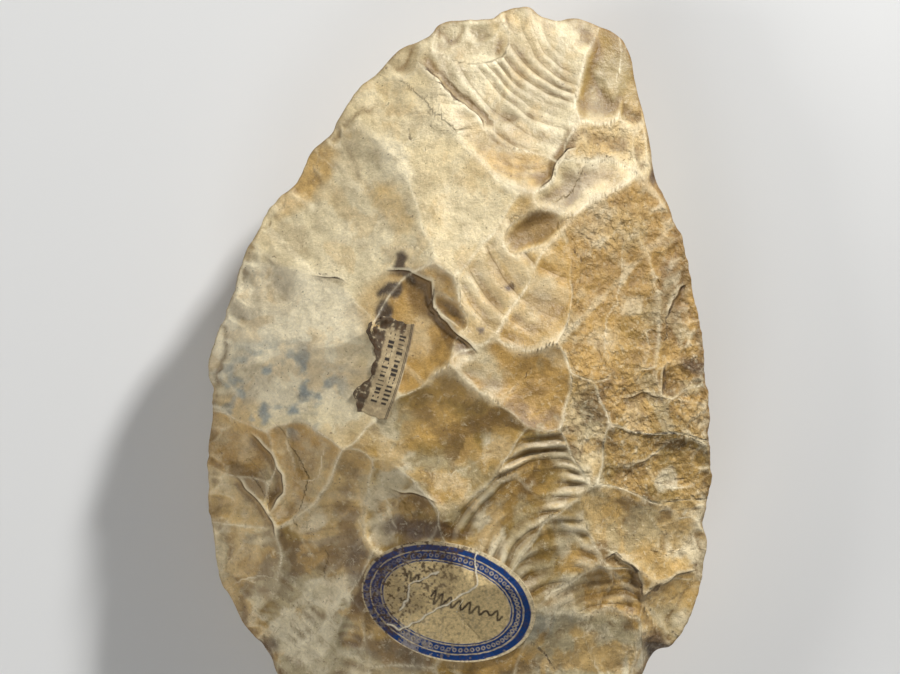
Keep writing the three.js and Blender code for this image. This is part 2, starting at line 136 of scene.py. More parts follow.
def scar(x, y, heading, reach, spread, depth, tint=SAND, fan=0.0, end=2.0, ripple=None, rough=0.0):
    """One flake scar: its middle, the way it runs, half its length and width, its depth and colour.

    fan widens it along its way, a higher end gives it a flatter floor, and rough is how broken the
    stone in it is. ripple is the point that its waves spread from, their spacing and height, and
    how calm the middle of the scar is.
    """
    return {"x": x, "y": y, "heading": math.radians(heading), "reach": reach, "spread": spread,
            "depth": depth, "tint": tint, "fan": fan, "end": end, "ripple": ripple, "rough": rough}


# The broad scars that meet along the ridges of the front
FRONT_FACETS = [
    # Upper left: the two long facets beside the main ridge, and the plateau above them
    scar(-22, 37, -38, 30, 15.5, 1.35, PALE, ripple=(-40, 52, 7.0, 0.06, 0)),
    scar(-2, 42, -57, 26, 11.5, 1.15, CREAM, fan=-0.1, ripple=(-14, 66, 6.0, 0.06, 0)),
    scar(-13, 58, -38, 14, 9.5, 1.0, CREAM),
    # The point, with its big rippled scar and the small facets to its right
    scar(10, 62, -70, 21, 14.5, 1.7, PALE, end=3, ripple=(28, 80, 2.2, 0.17, 0)),
    scar(10, 49, -28, 12, 5.5, 1.25, SAND, ripple=(14, 60, 2.0, 0.12, 0)),
    scar(30, 62.5, 55, 10.5, 5.5, 1.35, OLIVE),
    scar(29, 51, 15, 9, 5.5, 1.0, SAND, rough=0.6),
    scar(24, 43, 30, 10.5, 5, 1.15, CREAM),
    # Middle right: two hollows running down from the pit, and the long rough facet
    scar(8, 25, 60, 15, 8.5, 1.15, SAND, fan=0.2, ripple=(26, 36, 4.8, 0.26, 0)),
    scar(16, 20, 50, 15, 6, 1.0, OCHRE, ripple=(26, 36, 4.8, 0.2, 0)),
    scar(30, 24, 97, 20, 11, 1.2, TAN, rough=0.7),
    scar(12, 4, -35, 13, 6, 0.9, TAN),
    # Left and centre
    scar(-35, 16, 20, 22, 9.5, 1.2, BRIGHT),
    scar(-28, 3, 13, 27, 8.5, 1.25, PALE),
    scar(-9, 14, 65, 13, 7.5, 1.35, TAN, end=3),
    scar(-2, -8, 10, 18, 10, 1.1, OLIVE),
    # Lower left
    scar(-44, -11, 150, 9, 6, 1.5, TAN, ripple=(-52, -8, 3.1, 0.12, 0), rough=0.3),
    scar(-46, -19, 150, 9, 5.5, 1.6, SAND),
    scar(-44, -33, 170, 10, 7.5, 1.4, CREAM, ripple=(-52, -34, 3.2, 0.1, 0)),
    scar(-30, -36, 70, 12, 8, 1.15, OLIVE, ripple=(-44, -50, 3.2, 0.12, 0)),
    scar(-33, -13, 100, 10, 6.5, 1.1, TAN),
    scar(-24, -26, 70, 15, 8, 1.25, SAND, fan=-0.3, ripple=(-25, -42, 4.2, 0.14, 0)),
    scar(-13, -23, 100, 12, 6, 1.1, OLIVE),
    scar(-12, -42, 80, 15, 12, 1.1, OLIVE),
    # Lower right
    scar(12, -20, 48, 19, 10, 1.35, OLIVE, ripple=(20, -35, 2.6, 0.42, 0.85)),
    scar(19, -31, 60, 12, 8, 1.25, OLIVE, ripple=(21, -48, 3.0, 0.26, 0.7)),
    scar(26, -39, 12, 13, 5.5, 1.3, TAN, ripple=(30, -56, 2.5, 0.14, 0)),
    scar(20, -49, 30, 16, 9, 1.2, GREY, ripple=(6, -40, 3.6, 0.12, 0), rough=0.25),
    scar(6, -50, 60, 14, 10, 1.1, OLIVE),
    scar(37, -26, 170, 16, 8.5, 1.2, SAND, ripple=(54, -22, 4.0, 0.12, 0), rough=0.25),
    scar(37, -13, 160, 14, 7, 1.1, OLIVE, rough=0.9),
    scar(38, 0, 175, 13, 7, 1.1, TAN, rough=0.9),
    scar(25, -6, 90, 9, 5, 0.9, SAND, rough=1.0),
    scar(43, -45, 110, 9, 6, 1.4, SAND),
    # Butt
    scar(-26, -50, 60, 13, 9, 1.2, GREY, ripple=(-36, -60, 3.0, 0.12, 0)),
    scar(-12, -64, 85, 14, 12, 1.2, OLIVE),
    scar(12, -66, 95, 14, 12, 1.3, TAN),
]

# Smaller scars that are cut into the broad ones
FRONT_CHIPS = [
    scar(-21, 51, -50, 7, 5, 0.7, end=3),
    scar(-17, 61, -50, 7, 4.5, 0.6, end=3),
    scar(-1.5, 73, -8, 8, 4.4, 0.7, end=3),
    scar(-1, 57.5, -52, 7.5, 4.2, 0.45, end=3, ripple=(1, 80, 1.7, 0.10, 0)),
    scar(25, 74.5, -125, 4.5, 3.4, 0.7, end=3),
    scar(35, 65, -85, 9, 2.6, 0.7, end=3),
    scar(16.5, 33.8, 22, 7.5, 3.6, 1.0, end=3),
    scar(-2, 17.5, -40, 3.5, 1.6, 0.35, end=3),
    scar(-42, 26, -30, 8, 5, 0.8, end=3),
    scar(-43, -42, 20, 6, 4, 0.7, end=3, ripple=(-50, -46, 2.2, 0.08, 0)),
    scar(-32, -45.5, 55, 6.5, 3.6, 0.85, end=3, ripple=(-38, -53, 1.8, 0.1, 0)),
    scar(-21.5, -45.5, 80, 5, 2.6, 0.7, end=3, ripple=(-22, -53, 1.6, 0.08, 0)),
    scar(-22, -56, 70, 8, 4, 0.7, end=3, ripple=(-26, -66, 2.4, 0.1, 0)),
    scar(-16, -25, 110, 5, 2.6, 0.4, end=3),
    scar(2, -17, 40, 6, 3, 0.3, end=3),
    scar(30, -24, -20, 7, 4, 0.35, end=3),
    scar(42, -30, 200, 6, 4, 0.5, end=3, ripple=(50, -30, 2.4, 0.12, 0)),
    scar(30, -47, 110, 6, 3.6, 0.5, end=3),
    scar(-34, 8, 10, 9, 3, 0.25, end=3),
    scar(33, 8, 95, 8, 3.4, 0.5, end=3),
    scar(36, 24, 80, 8, 3.2, 0.5, end=3),
    scar(-31, -9, 95, 5, 2.6, 0.4, end=3),
    scar(-36, -22, 60, 5, 3.5, 0.5, end=4),
    scar(-38, -47, 60, 9, 5, 0.9, end=3),
    scar(42, 31, -70, 12, 4.5, 1.2, end=4),
    scar(44, 16, -85, 11, 5, 1.2, end=4),
    scar(46, 6, 200, 6, 4, 1.3, end=4),
    scar(38, 47, -80, 6, 3, 0.8, end=4),
    scar(44, -13, 180, 6, 4, 1.0, end=4),
]

BACK_SCAR_COUNT = 13
BACK_SCAR_DEPTH = 1.9
BACK_SCAR_MIDDLE = 0.72
BACK_SCAR_REACH = 0.36
BACK_TINTS = [SAND, OLIVE, CREAM, TAN]
# Spacing and height of the ripples, and how calm the middle of a scar is
BACK_RIPPLE = (4.5, 0.12, 0.5)
# Small scars around the whole edge
NICK_COUNT = 76


def ledge(points, drop, fade, dirt_and_shade):
    """A step: the stone to the right of the way along the points drops, then rises back over fade.

    A drop under zero lowers the left side. The last is how much dirt and painted shade the step's
    corner gets.
    """
    return {"points": points, "drop": drop, "fade": fade, "dirt_and_shade": dirt_and_shade}


FRONT_LEDGES = [
    # The cliff under the upper left edge
    ledge([(4.8, 52.8), (4.5, 55.1), (2.6, 57.4), (-1.8, 60.5), (-5, 64.3), (-8.9, 68.1)],
          2.0, 6, 0.9),
    # The hollow beside the strip
    ledge([(3.7, 8.8), (2, 11), (-5.9, 18), (-5.4, 20), (-5.6, 23.4), (-10, 25.6), (-15, 25.6)],
          -1.0, 9, 0.8),
    # The broken lower border of the big upper left facet
    ledge([(-30, 25), (-25, 24.3), (-22, 23)], 0.7, 4, 0.5),
    # The deep groove that ends at the pit
    ledge([(24, 50.5), (21, 49.5), (18, 44), (15, 41)], 1.2, 3, 0.8),
    # Two cliffs at the left edge
    ledge([(-42, -6), (-38, -11), (-35.5, -15), (-35.5, -19), (-38, -23)], 1.8, 6, 0.9),
    ledge([(-45, -14.5), (-40, -20), (-38, -23), (-36.5, -28)], 1.5, 6, 0.9),
    # The step at the lower right
    ledge([(28, -32), (31, -30.5), (35, -34), (36.5, -39), (38, -38.5), (42, -36), (48.5, -34)],
          1.2, 6, 0.4),
    # Steps of the right edge
    ledge([(46, 23.5), (42.5, 20), (41, 15)], -0.9, 4, 0.6),
    ledge([(40.8, 8), (40.3, 4), (40.3, 0)], -0.8, 4, 0.6),
    ledge([(30, -14), (35, -12.5), (41, -10.5)], 0.9, 4, 0.3),
    ledge([(31, 0.5), (37, 1.2), (43, 0.2)], 0.8, 4, 0.4),
    # The scar with a dark crust above the oval label
    ledge([(-14, -17), (-10, -18.5), (-4, -20)], 0.5, 4, 0.8),
]

# Fine dark cracks and scratches
FRONT_CRACKS = [
    [(25.5, 47.5), (28, 48.6), (31, 47.6), (35, 48.4), (37, 46.5)],
    [(37, -16), (41, -16.6), (46, -15.8)], [(30, -5.5), (33, -6.8), (37, -6), (43, -7.4)],
    [(-30, 25.2), (-26, 24.4), (-22, 22.8)],
    [(3, 8.6), (-2, 13.8), (-6.2, 18.4), (-5.2, 20.4), (-6, 24)],
    [(-11, 55), (-9.4, 51.5), (-9, 50)], [(-9, 53.5), (-7.2, 49.5)], [(-7.5, 51.5), (-6.2, 48)],
    [(-6, 47), (-4.6, 43.8)], [(-12, 50), (-10, 46)],
    [(46, 23.8), (43.5, 21), (41.4, 16), (40.8, 10)], [(41, 8), (40.4, 3), (40.8, -1)],
    [(22, 32), (24, 27), (23.6, 22)], [(10, 9), (13, 5.6), (12.2, 2.2)],
    [(-1, -2.5), (1.5, 0.2), (4.5, 0)], [(-27, -37), (-26.2, -31), (-27.6, -27)],
    [(-42, -14), (-38.6, -19), (-37.4, -24)], [(24, 50.5), (21, 49.5), (18, 44), (15, 41)],
    [(-8.9, 68.1), (-5, 64.3), (-1.8, 60.5), (2.6, 57.4)], [(13.5, -47), (17, -51), (20, -55)],
    [(28, -32), (31, -30.5), (35, -34), (36.5, -39), (42, -36)],
]

# Patches of broken, layered stone besides the rough scars: place, radius and roughness
FRONT_ROUGH = [
    (31, 32, 6, 1.0), (-4, 57, 4, 0.5), (-8, -21, 5, 0.5), (-42, -48, 5, 0.7), (41, 36, 4, 0.7),
    (45, 10, 5, 0.6), (38, -49, 5, 0.8), (-30, -2, 4, 0.3), (-41, 24, 4, 0.4),
]


def scatter(index):
    """A repeatable number from 0 to 1 for each index."""
    wave = np.sin(np.asarray(index) * 12.9898 + 4.1414) * 43758.5453
    return wave - np.floor(wave)


def smooth_step(value):
    value = np.clip(value, 0, 1)
    return value * value * (3 - 2 * value)


def noise(x, y, size, seed):
    """Smooth noise from -1 to 1 with blobs of about the given size."""
    px = x / size + 37.1 * seed
    py = y / size - 11.7 * seed
    left, low = np.floor(px), np.floor(py)
    fx, fy = smooth_step(px - left), smooth_step(py - low)

    def corner(i, j):
        return scatter((left + i) * 1.37 + (low + j) * 57.31 + seed)

    bottom = corner(0, 0) * (1 - fx) + corner(1, 0) * fx
    top = corner(0, 1) * (1 - fx) + corner(1, 1) * fx
    return 2 * (bottom * (1 - fy) + top * fy) - 1


def fractal(x, y, size, octaves, seed):
    """Noise with finer and weaker layers on top of it, from about -1 to 1."""
    total, weight = 0, 1
    for octave in range(octaves):
        total = total + weight * noise(x, y, size / 2**octave, seed + octave)
        weight /= 2
    return total / 1.6


def wavered(x, y, reach, size, seed):
    """Places moved by noise, so that what is drawn through them isn't straight."""
    return x + reach * noise(x, y, size, seed), y + reach * noise(x, y, size, seed + 1)


def bell(value, width):
    return np.exp(-(value / width) ** 2)


def turned(dx, dy, angle):
    """A step in the layout as one along a way and one across it."""
    cos, sin = math.cos(angle), math.sin(angle)
    return dx * cos + dy * sin, dy * cos - dx * sin


def scallops(x, y, size, seed):
    """A surface of many small bowls with sharp ridges between them, from about -0.5 to 0.5."""
    px = x / size + 0.35 * noise(x, y, 1.7 * size, seed)
    py = y / size + 0.35 * noise(x, y, 1.7 * size, seed + 1)
    left, low = np.floor(px), np.floor(py)
    lowest = np.full(x.shape, 9.0)
    for i in (-1, 0, 1):
        for j in (-1, 0, 1):
            cell = (left + i) * 1.37 + (low + j) * 57.31 + seed
            dx = px - left - i - 0.1 - 0.8 * scatter(cell)
            dy = py - low - j - 0.1 - 0.8 * scatter(cell + 0.37)
            tilt = 0.7 * (dx * (scatter(cell + 0.61) - 0.5) + dy * (scatter(cell + 0.83) - 0.5))
            lowest = np.minimum(lowest, dx * dx + dy * dy + tilt + 0.5 * scatter(cell + 0.19))
    return lowest - 0.5


def outline_tables():
    """Radii of the outline about the crest at even angles, sharp and smoothed."""
    steps = 20
    points = np.array(OUTLINE) - CREST
    before, after, beyond = (np.roll(points, shift, axis=0) for shift in (1, -1, -2))
    t = np.linspace(0, 1, steps, endpoint=False)[:, None, None]
    curve = 0.5 * (2 * points + (after - before) * t
                   + (2 * before - 5 * points + 4 * after - beyond) * t**2
                   + (3 * points - before - 3 * after + beyond) * t**3)
    curve = curve.reshape(-1, 2)
    angle = np.arctan2(curve[:, 1], curve[:, 0])
    order = np.argsort(angle)
    even = np.linspace(-math.pi, math.pi, 1440, endpoint=False)
    radius = np.hypot(curve[:, 0], curve[:, 1])
    sharp = np.interp(even, angle[order], radius[order], period=2 * math.pi)
    waves = np.fft.rfft(sharp)
    waves[SMOOTH_HARMONICS + 1:] = 0
    return even, sharp, np.fft.irfft(waves, len(sharp))


EVEN_ANGLES, SHARP_RADII, SMOOTH_RADII = outline_tables()


def radius_at(table, angle):
    return np.interp(angle, EVEN_ANGLES, table, period=2 * math.pi)


def ragged_radius(angle):
    """The outline with its small chips. They stop short of where the angle starts again."""
    around = 55 * angle
    chips = 0.28 * noise(around, around, 4.4, 3) + 0.16 * noise(around, around, 1.6, 5)
    chips = chips * smooth_step((math.pi - np.abs(angle)) / 0.1)
    return radius_at(SHARP_RADII, angle) + chips - 0.1


def about_crest(radius, angle):
    return CREST[0] + radius * np.cos(angle), CREST[1] + radius * np.sin(angle)


def polar(x, y):
    dx, dy = x - CREST[0], y - CREST[1]
    return np.arctan2(dy, dx), np.hypot(dx, dy)


def dome(rise, x, y):
    """The plain rounding of a face."""
    angle, out = polar(x, y)
    rim = np.minimum(out / radius_at(SMOOTH_RADII, angle), 1.2)
    return rise * (1 - rim**CROWN)


def edge_height(x, y):
    """Height of the surface that the cutting edge lies in. It wanders at the edge."""
    angle, out = polar(x, y)
    wave = (np.sin(3 * angle + 0.6) + 0.5 * np.sin(7 * angle + 2)) / 1.5
    return BACK_RISE + EDGE_WAVE * wave * (out / radius_at(SMOOTH_RADII, angle)) ** 3


def back_facets():
    facets = []
    for k in range(BACK_SCAR_COUNT):
        angle = 2 * math.pi * (k + 0.3 * scatter(k)) / BACK_SCAR_COUNT
        radius = float(radius_at(SMOOTH_RADII, angle))
        middle = radius * (BACK_SCAR_MIDDLE + 0.06 * scatter(k + 40))
        spread = math.pi * middle / BACK_SCAR_COUNT * (1.15 + 0.3 * scatter(k + 20))
        heading = math.degrees(angle) + 24 * (scatter(k + 60) - 0.5)
        depth = BACK_SCAR_DEPTH * (0.8 + 0.4 * scatter(k + 80))
        tint = BACK_TINTS[k % len(BACK_TINTS)]
        facets.append(scar(*about_crest(middle, angle), heading, radius * BACK_SCAR_REACH, spread,
                           depth, tint, fan=-0.15,
                           ripple=(*about_crest(radius, angle), *BACK_RIPPLE)))
    return facets


def edge_nicks(seed):
    """Small scars all along the edge, where it was trimmed and has chipped."""
    nicks = []
    for k in range(NICK_COUNT):
        angle = 2 * math.pi * (k + 0.7 * scatter(k + seed)) / NICK_COUNT
        size = 1.7 + 2.6 * scatter(k + seed + 100) ** 2
        radius = float(radius_at(SHARP_RADII, angle)) - 0.1 * size
        heading = math.degrees(angle) + 50 * (scatter(k + seed + 200) - 0.5)
        nicks.append(scar(*about_crest(radius, angle), heading, size * 1.5, size * 0.9,
                          0.35 + 0.2 * size, fan=0.3, end=3))
    return nicks


def wander(x, y):
    """A gentle shift of up to a millimetre, so that no scar has a drawn look."""
    across = 0.5 * np.sin(0.23 * y + 1.3) + 0.35 * np.sin(0.31 * x + 0.27 * y + 0.7)
    along = 0.5 * np.sin(0.21 * x + 0.4) + 0.35 * np.sin(0.29 * y - 0.33 * x + 2.1)
    return (x + across + 0.2 * np.sin(0.71 * y - 0.4 * x),
            y + along + 0.2 * np.sin(0.63 * x + 0.5 * y))


def rim_share(flake, x, y):
    """How far out in a scar each place is: 0 at its middle, 1 at its rim."""
    along, across = turned(x - flake["x"], y - flake["y"], flake["heading"])
    along = along / flake["reach"]
    across = across / (flake["spread"] * np.clip(1 + flake["fan"] * along, 0.15, 3))
    power = RIM_SQUARENESS
    return (np.abs(along) ** power + np.abs(across) ** power) ** (1 / power)


def scar_ripples(flake, rim, x, y):
    """Ripples of a scar, as rings about the place that it was struck from: phase and height."""
    if not flake["ripple"]:
        return np.zeros_like(x), np.zeros_like(x)
    focus_x, focus_y, spacing, height, calm = flake["ripple"]
    out = np.hypot(x - focus_x, y - focus_y)
    turn = np.arctan2(y - focus_y, x - focus_x)
    phase = out / spacing + 0.8 * noise(out, 4 * turn, 2.6 * spacing, 51)
    strength = 0.6 + 0.8 * noise(out, 9 * turn, 1.9 * spacing, 52)
    strength = np.clip(strength, 0.08, 1.4) * (1 - calm * smooth_step((0.75 - rim) / 0.35))
    return phase, height * np.clip(3 * (1 - rim), 0, 1) * strength


def place_on(scars, under):
    """Gives each scar the plane that it is cut from, laid on the surface that was there before."""
    for flake in scars:
        step = 0.35 * min(flake["reach"], flake["spread"])
        x = flake["x"] + np.array([0, step, -step, 0, 0])
        y = flake["y"] + np.array([0, 0, 0, step, -step])
        height = under(x, y)
        flake["level"] = float(height.mean())
        flake["slope"] = (height[1] - height[2]) / (2 * step), (height[3] - height[4]) / (2 * step)
    return scars


def plane_height(flake, x, y):
    slope_x, slope_y = flake["slope"]
    return flake["level"] + slope_x * (x - flake["x"]) + slope_y * (y - flake["y"])


def facet_surface(rise, facets, uncut, x, y, chips=()):
    """The lowest scar at each place: height, lead over the next, which it is, and its ripples."""
    wx, wy = wander(x, y)
    base = dome(rise, x, y)
    lowest = base if uncut else np.full(x.shape, FAR)
    second = np.full(x.shape, FAR)
    owner = np.full(x.shape, -1)
    phase = np.zeros_like(x)
    swell = np.zeros_like(x)
    for index, flake in enumerate([*facets, *chips]):
        rim = rim_share(flake, wx, wy)
        cut = RELIEF * flake["depth"] * (1 - rim ** flake["end"])
        plane = plane_height(flake, x, y)
        if index < len(facets):
            level = base + PLANAR * (plane - base) - cut
        else:
            level = np.where(rim < CHIP_RIM, plane - cut, FAR)
        lead = level < lowest
        second = np.minimum(second, np.maximum(level, lowest))
        softness = RIDGE_SOFTNESS if index < len(facets) else CHIP_SOFTNESS
        near = np.clip(1 - np.abs(level - lowest) / softness, 0, 1)
        lowest = np.minimum(lowest, level) - softness / 4 * near**2
        if index < len(facets):
            owner = np.where(lead, index, owner)
        own_phase, own_swell = scar_ripples(flake, rim, x, y)
        phase = np.where(lead, own_phase, phase)
        swell = np.where(lead, own_swell, swell)
    return {"lowest": lowest, "lead": second - lowest, "owner": owner, "phase": phase,
            "swell": swell}


def nick_depth(nicks, x, y):
    """How deep the small scars of the edge are, and the lead of the deepest over the next one."""
    deepest = np.zeros_like(x)
    second = np.zeros_like(x)
    wx, wy = wander(x, y)
    for nick in nicks:
        depth = RELIEF * nick["depth"] * (1 - rim_share(nick, wx, wy) ** nick["end"])
        second = np.maximum(second, np.minimum(depth, deepest))
        deepest = np.maximum(deepest, depth)
    return deepest, deepest - second


def polyline_distance(points, x, y):
    """Distance to a line of points, its side (positive to the right) and a fade to its ends."""
    best = np.full(x.shape, FAR)
    side = np.zeros_like(x)
    along = np.zeros_like(x)
    start = 0
    for (ax, ay), (bx, by) in zip(points, points[1:]):
        length = math.hypot(bx - ax, by - ay)
        ux, uy = (bx - ax) / length, (by - ay) / length
        t = np.clip((x - ax) * ux + (y - ay) * uy, 0, length)
        distance = np.hypot(x - ax - t * ux, y - ay - t * uy)
        near = distance < best
        cross = (x - ax) * uy - (y - ay) * ux
        best = np.where(near, distance, best)
        side = np.where(near, np.sign(cross), side)
        along = np.where(near, start + t, along)
        start += length
    return best, side, smooth_step(np.minimum(along, start - along) / 3)


def ledge_relief(ledges, x, y):
    """How far steps lower the stone, the distance past the nearest one, and its dirt and painted
    shade.
    """
    lowered = np.zeros_like(x)
    nearest = np.full(x.shape, 5.0)
    dirt_and_shade = np.zeros_like(x)
    wx, wy = wavered(x, y, 0.55, 2.4, 8)
    for step in ledges:
        distance, side, taper = polyline_distance(step["points"], wx, wy)
        inside = distance * side * (1 if step["drop"] > 0 else -1)
        past = np.clip(inside, 0, None)
        fall = smooth_step(inside / STEP_WALL) * taper
        lip = 0.12 * bell(inside + 0.4, 0.5) * taper
        lowered += abs(step["drop"]) * (fall * np.exp(-past / step["fade"]) - lip)
        near = (np.abs(inside) < np.abs(nearest)) & (taper > 0)
        nearest = np.where(near, inside, nearest)
        dirt_and_shade = np.where(near, step["dirt_and_shade"] * taper, dirt_and_shade)
    return lowered, nearest, dirt_and_shade


def terraces(value, levels):
    """Turns a smooth value into flat steps with short walls between them."""
    raised = value * levels
    floor = np.floor(raised)
    return (floor + smooth_step((raised - floor) / 0.3)) / levels


def roughness(scars, owner, patches, x, y):
    """How rough each place is, from its scar and from the patches."""
    values = np.array([flake["rough"] for flake in scars] + [0])
    rough = values[owner]
    wx, wy = wavered(x, y, 3, 5, 61)
    for patch_x, patch_y, radius, strength in patches:
        share = smooth_step(1.5 - np.hypot(wx - patch_x, wy - patch_y) / radius)
        rough = np.maximum(rough, strength * share)
    return rough * (0.75 + 0.35 * noise(x, y, 7, 63))


def broken_relief(x, y):
    """Height of broken, layered stone."""
    layered = terraces(fractal(x, y, 8, 3, 300), 3)
    return 0.5 * layered + 0.45 * scallops(x, y, 4.6, 400) + 0.3 * scallops(x, y, 2.2, 420)


def scars_of(face, x, y):
    """The scars of a face at each place, with slightly ragged borders."""
    wx, wy = wavered(x, y, 0.3, 3.1, 14)
    return facet_surface(face["rise"], face["facets"], face["uncut"], wx, wy, face["chips"])


def face_surface(face, x, y):
    """Height over the edge of one face at each place, and what its colour and finish depend on."""
    angle, out = polar(x, y)
    inward = np.clip(ragged_radius(angle) - out, 0, None)
    base = dome(face["rise"], x, y)
    cut = scars_of(face, x, y)
    nick, nick_lead = nick_depth(face["nicks"], x, y)
    lowered, step, dirt_and_shade = ledge_relief(face["ledges"], x, y)
    rough = roughness(face["facets"], cut["owner"], face["rough"], x, y)
    rough = rough * smooth_step(cut["lead"] / 0.3)
    swell = cut["swell"] * smooth_step(inward / 3) * smooth_step(cut["lead"] / 0.7)
    body = inward / (inward + SCAR_FADE)
    height = base + (cut["lowest"] - base - lowered) * body
    height += swell * np.sin(2 * math.pi * cut["phase"])
    uneven = SCALLOP_DEPTH * (scallops(x, y, 8, 500) + 0.45 * scallops(x, y, 3.4, 600))
    uneven += 0.12 * fractal(x, y, 9, 3, 70)
    height += (rough * broken_relief(x, y) + uneven) * smooth_step(inward / 3)
    height -= nick * inward / (inward + NICK_FADE) * np.exp(-inward / NICK_WIDTH)
    least = EDGE_SLOPE_MIN * np.minimum(inward, EDGE_BAND)
    height = np.clip(height, least, EDGE_SLOPE_MAX * inward)
    facts = {**cut, "swell": swell, "step": step, "dirt_and_shade": dirt_and_shade, "rough": rough, "inward": inward,
             "nick_lead": np.where(nick > 0.05, nick_lead, 9),
             "crack": crack_distance(face["cracks"], x, y)}
    return height, facts


def crack_distance(cracks, x, y):
    """Distance to the nearest crack, and a little more towards the ends of each."""
    wx, wy = wavered(x, y, 0.5, 1.5, 18)
    nearest = np.full(x.shape, 5.0)
    for points in cracks:
        distance, _, taper = polyline_distance(points, wx, wy)
        nearest = np.minimum(nearest, distance + 0.3 * (1 - taper))
    return nearest


def make_face(rise, facets, chips, nicks, ledges, cracks, rough, uncut):
    place_on(facets, lambda x, y: dome(rise, x, y))
    place_on(chips, lambda x, y: facet_surface(rise, facets, uncut, x, y)["lowest"])
    return {"rise": rise, "facets": facets, "chips": chips, "nicks": nicks, "ledges": ledges,
            "cracks": cracks, "rough": rough, "uncut": uncut}


FRONT = make_face(FRONT_RISE, FRONT_FACETS, FRONT_CHIPS, edge_nicks(0), FRONT_LEDGES, FRONT_CRACKS,
                  FRONT_ROUGH, False)
BACK = make_face(BACK_RISE + REST_FLATTENING, back_facets(), [], edge_nicks(400), [], [], [], True)


def square_to_disk(a, b):
    """Bends a square from -1 to 1 into a disk: share of the radius, and angle."""
    wide = np.abs(a) > np.abs(b)
    out = np.where(wide, a, b)
    safe = np.where(out == 0, 1, out)
    turn = np.where(wide, math.pi / 4 * b / safe, math.pi / 2 - math.pi / 4 * a / safe)
    return np.abs(out), np.arctan2(out * np.sin(turn), out * np.cos(turn))


def grid(cells):
    steps = np.linspace(-1, 1, cells + 1)
    return np.meshgrid(steps, steps, indexing="ij")


def stone_grid(cells):
    """Grid corners bent to the outline, as places in the layout."""
    share, angle = square_to_disk(*grid(cells))
    inner = radius_at(SMOOTH_RADII, angle)
    radius = share * (inner + (ragged_radius(angle) - inner) * share**3)
    return about_crest(radius, angle)


def slide_to_ridges(face, x, y):
    """Moves grid corners onto the ridge beside them, so that the mesh follows the ridges."""
    step = 0.04
    share = 0.45
    inside = smooth_step(ragged_radius(polar(x, y)[0]) - polar(x, y)[1] - 1) > 0
    rows = [(np.gradient(x, axis=axis), np.gradient(y, axis=axis)) for axis in (0, 1)]
    start_x, start_y = x, y
    for _ in range(2):
        lead = scars_of(face, x, y)["lead"]
        slope_x = (scars_of(face, x + step, y)["lead"] - lead) / step
        slope_y = (scars_of(face, x, y + step)["lead"] - lead) / step
        size = np.hypot(slope_x, slope_y) + 1e-6
        reach = share * np.maximum(*(np.abs(dx * slope_x + dy * slope_y) / size for dx, dy in rows))
        new_x, new_y = x - slope_x * lead / size**2, y - slope_y * lead / size**2
        near = inside & (np.hypot(new_x - start_x, new_y - start_y) < reach)
        x, y = np.where(near, new_x, x), np.where(near, new_y, y)
    return x, y


def border(cells):
    """Grid indices around the border of a grid, anticlockwise seen from above."""
    last = cells
    south = [(i, 0) for i in range(last)]
    east = [(last, j) for j in range(last)]
    north = [(i, last) for i in range(last, 0, -1)]
    west = [(0, j) for j in range(last, 0, -1)]
    return [i * (cells + 1) + j for i, j in south + east + north + west]


def blurred(height, times):
    """A grid of heights, smoothed with its neighbours."""
    for _ in range(times):
        padded = np.pad(height, 1, mode="edge")
        height = (padded[:-2, 1:-1] + padded[2:, 1:-1] + padded[1:-1, :-2] + padded[1:-1, 2:]
                  + 4 * height) / 8
    return height


def grid_triangles(z, start, upward):
    """Triangles of a grid of heights. Each cell is split along the crest or hollow across it."""
    cells = z.shape[0] - 1
    i, j = np.meshgrid(np.arange(cells), np.arange(cells), indexing="ij")
    corner = (start + i * (cells + 1) + j).ravel()
    p, q, r, s = corner, corner + cells + 1, corner + cells + 2, corner + 1
    detail = z - blurred(z, 6)
    rising = np.abs(detail[:-1, :-1] - detail[1:, 1:]).ravel()
    falling = np.abs(detail[1:, :-1] - detail[:-1, 1:]).ravel()
    first = (rising <= falling)[:, None]
    one = np.where(first, np.stack([p, q, r], axis=1), np.stack([p, q, s], axis=1))
    two = np.where(first, np.stack([p, r, s], axis=1), np.stack([q, r, s], axis=1))
    triangles = np.concatenate([one, two])
    return (triangles if upward else triangles[:, ::-1]).tolist()


def closed_body(name, fine, coarse, top, bottom):
    """A closed body between a fine top grid and a coarse bottom grid, joined around the rim.

    top and bottom are arrays of x, y and z, in metres.
    """
    points = [np.stack([part.ravel() for part in side], axis=1) for side in (top, bottom)]
    base = (fine + 1) ** 2
    faces = grid_triangles(top[2], 0, True) + grid_triangles(bottom[2], base, False)
    ratio = fine // coarse
    upper = border(fine)
    lower = [base + index for index in border(coarse)]
    for k, low in enumerate(lower):
        following = lower[(k + 1) % len(lower)]
        run = [upper[(k * ratio + step) % len(upper)] for step in range(ratio + 1)]
        faces.append([low, following] + run[::-1])
    mesh = bpy.data.meshes.new(name)
    mesh.from_pydata(np.concatenate(points).tolist(), [], faces)
    mesh.shade_smooth()
    piece = bpy.data.objects.new(name, mesh)
    bpy.context.collection.objects.link(piece)
    return piece


def paint(piece, name, *sides):
    """Stores one colour, or three shares, for each vertex of a piece."""
    colours = np.concatenate([side.reshape(-1, 3) for side in sides])
    layer = piece.data.attributes.new(name, "FLOAT_COLOR", "POINT")
    rgba = np.ones((len(colours), 4), dtype=np.float32)
    rgba[:, :3] = colours
    layer.data.foreach_set("color", rgba.ravel())


def to_scene(x, y, z):
    return x * STRETCH_X * MM, y * STRETCH_Y * MM, z * MM


def linear(colour):
    """A screen colour, with shares from 0 to 255, as a linear colour."""
    share = np.array(colour) / 255
    return np.where(share <= 0.04045, share / 12.92, ((share + 0.055) / 1.055) ** 2.4)


def blend(first, second, share):
    """Colours with a share of a second colour laid over them."""
    return first + (linear(second) - first) * np.clip(share, 0, 1)[..., None]


# Half the width of the soft bright line that is painted along a ridge, for wear and as a painted
# highlight
RIDGE_PAINT = 0.35

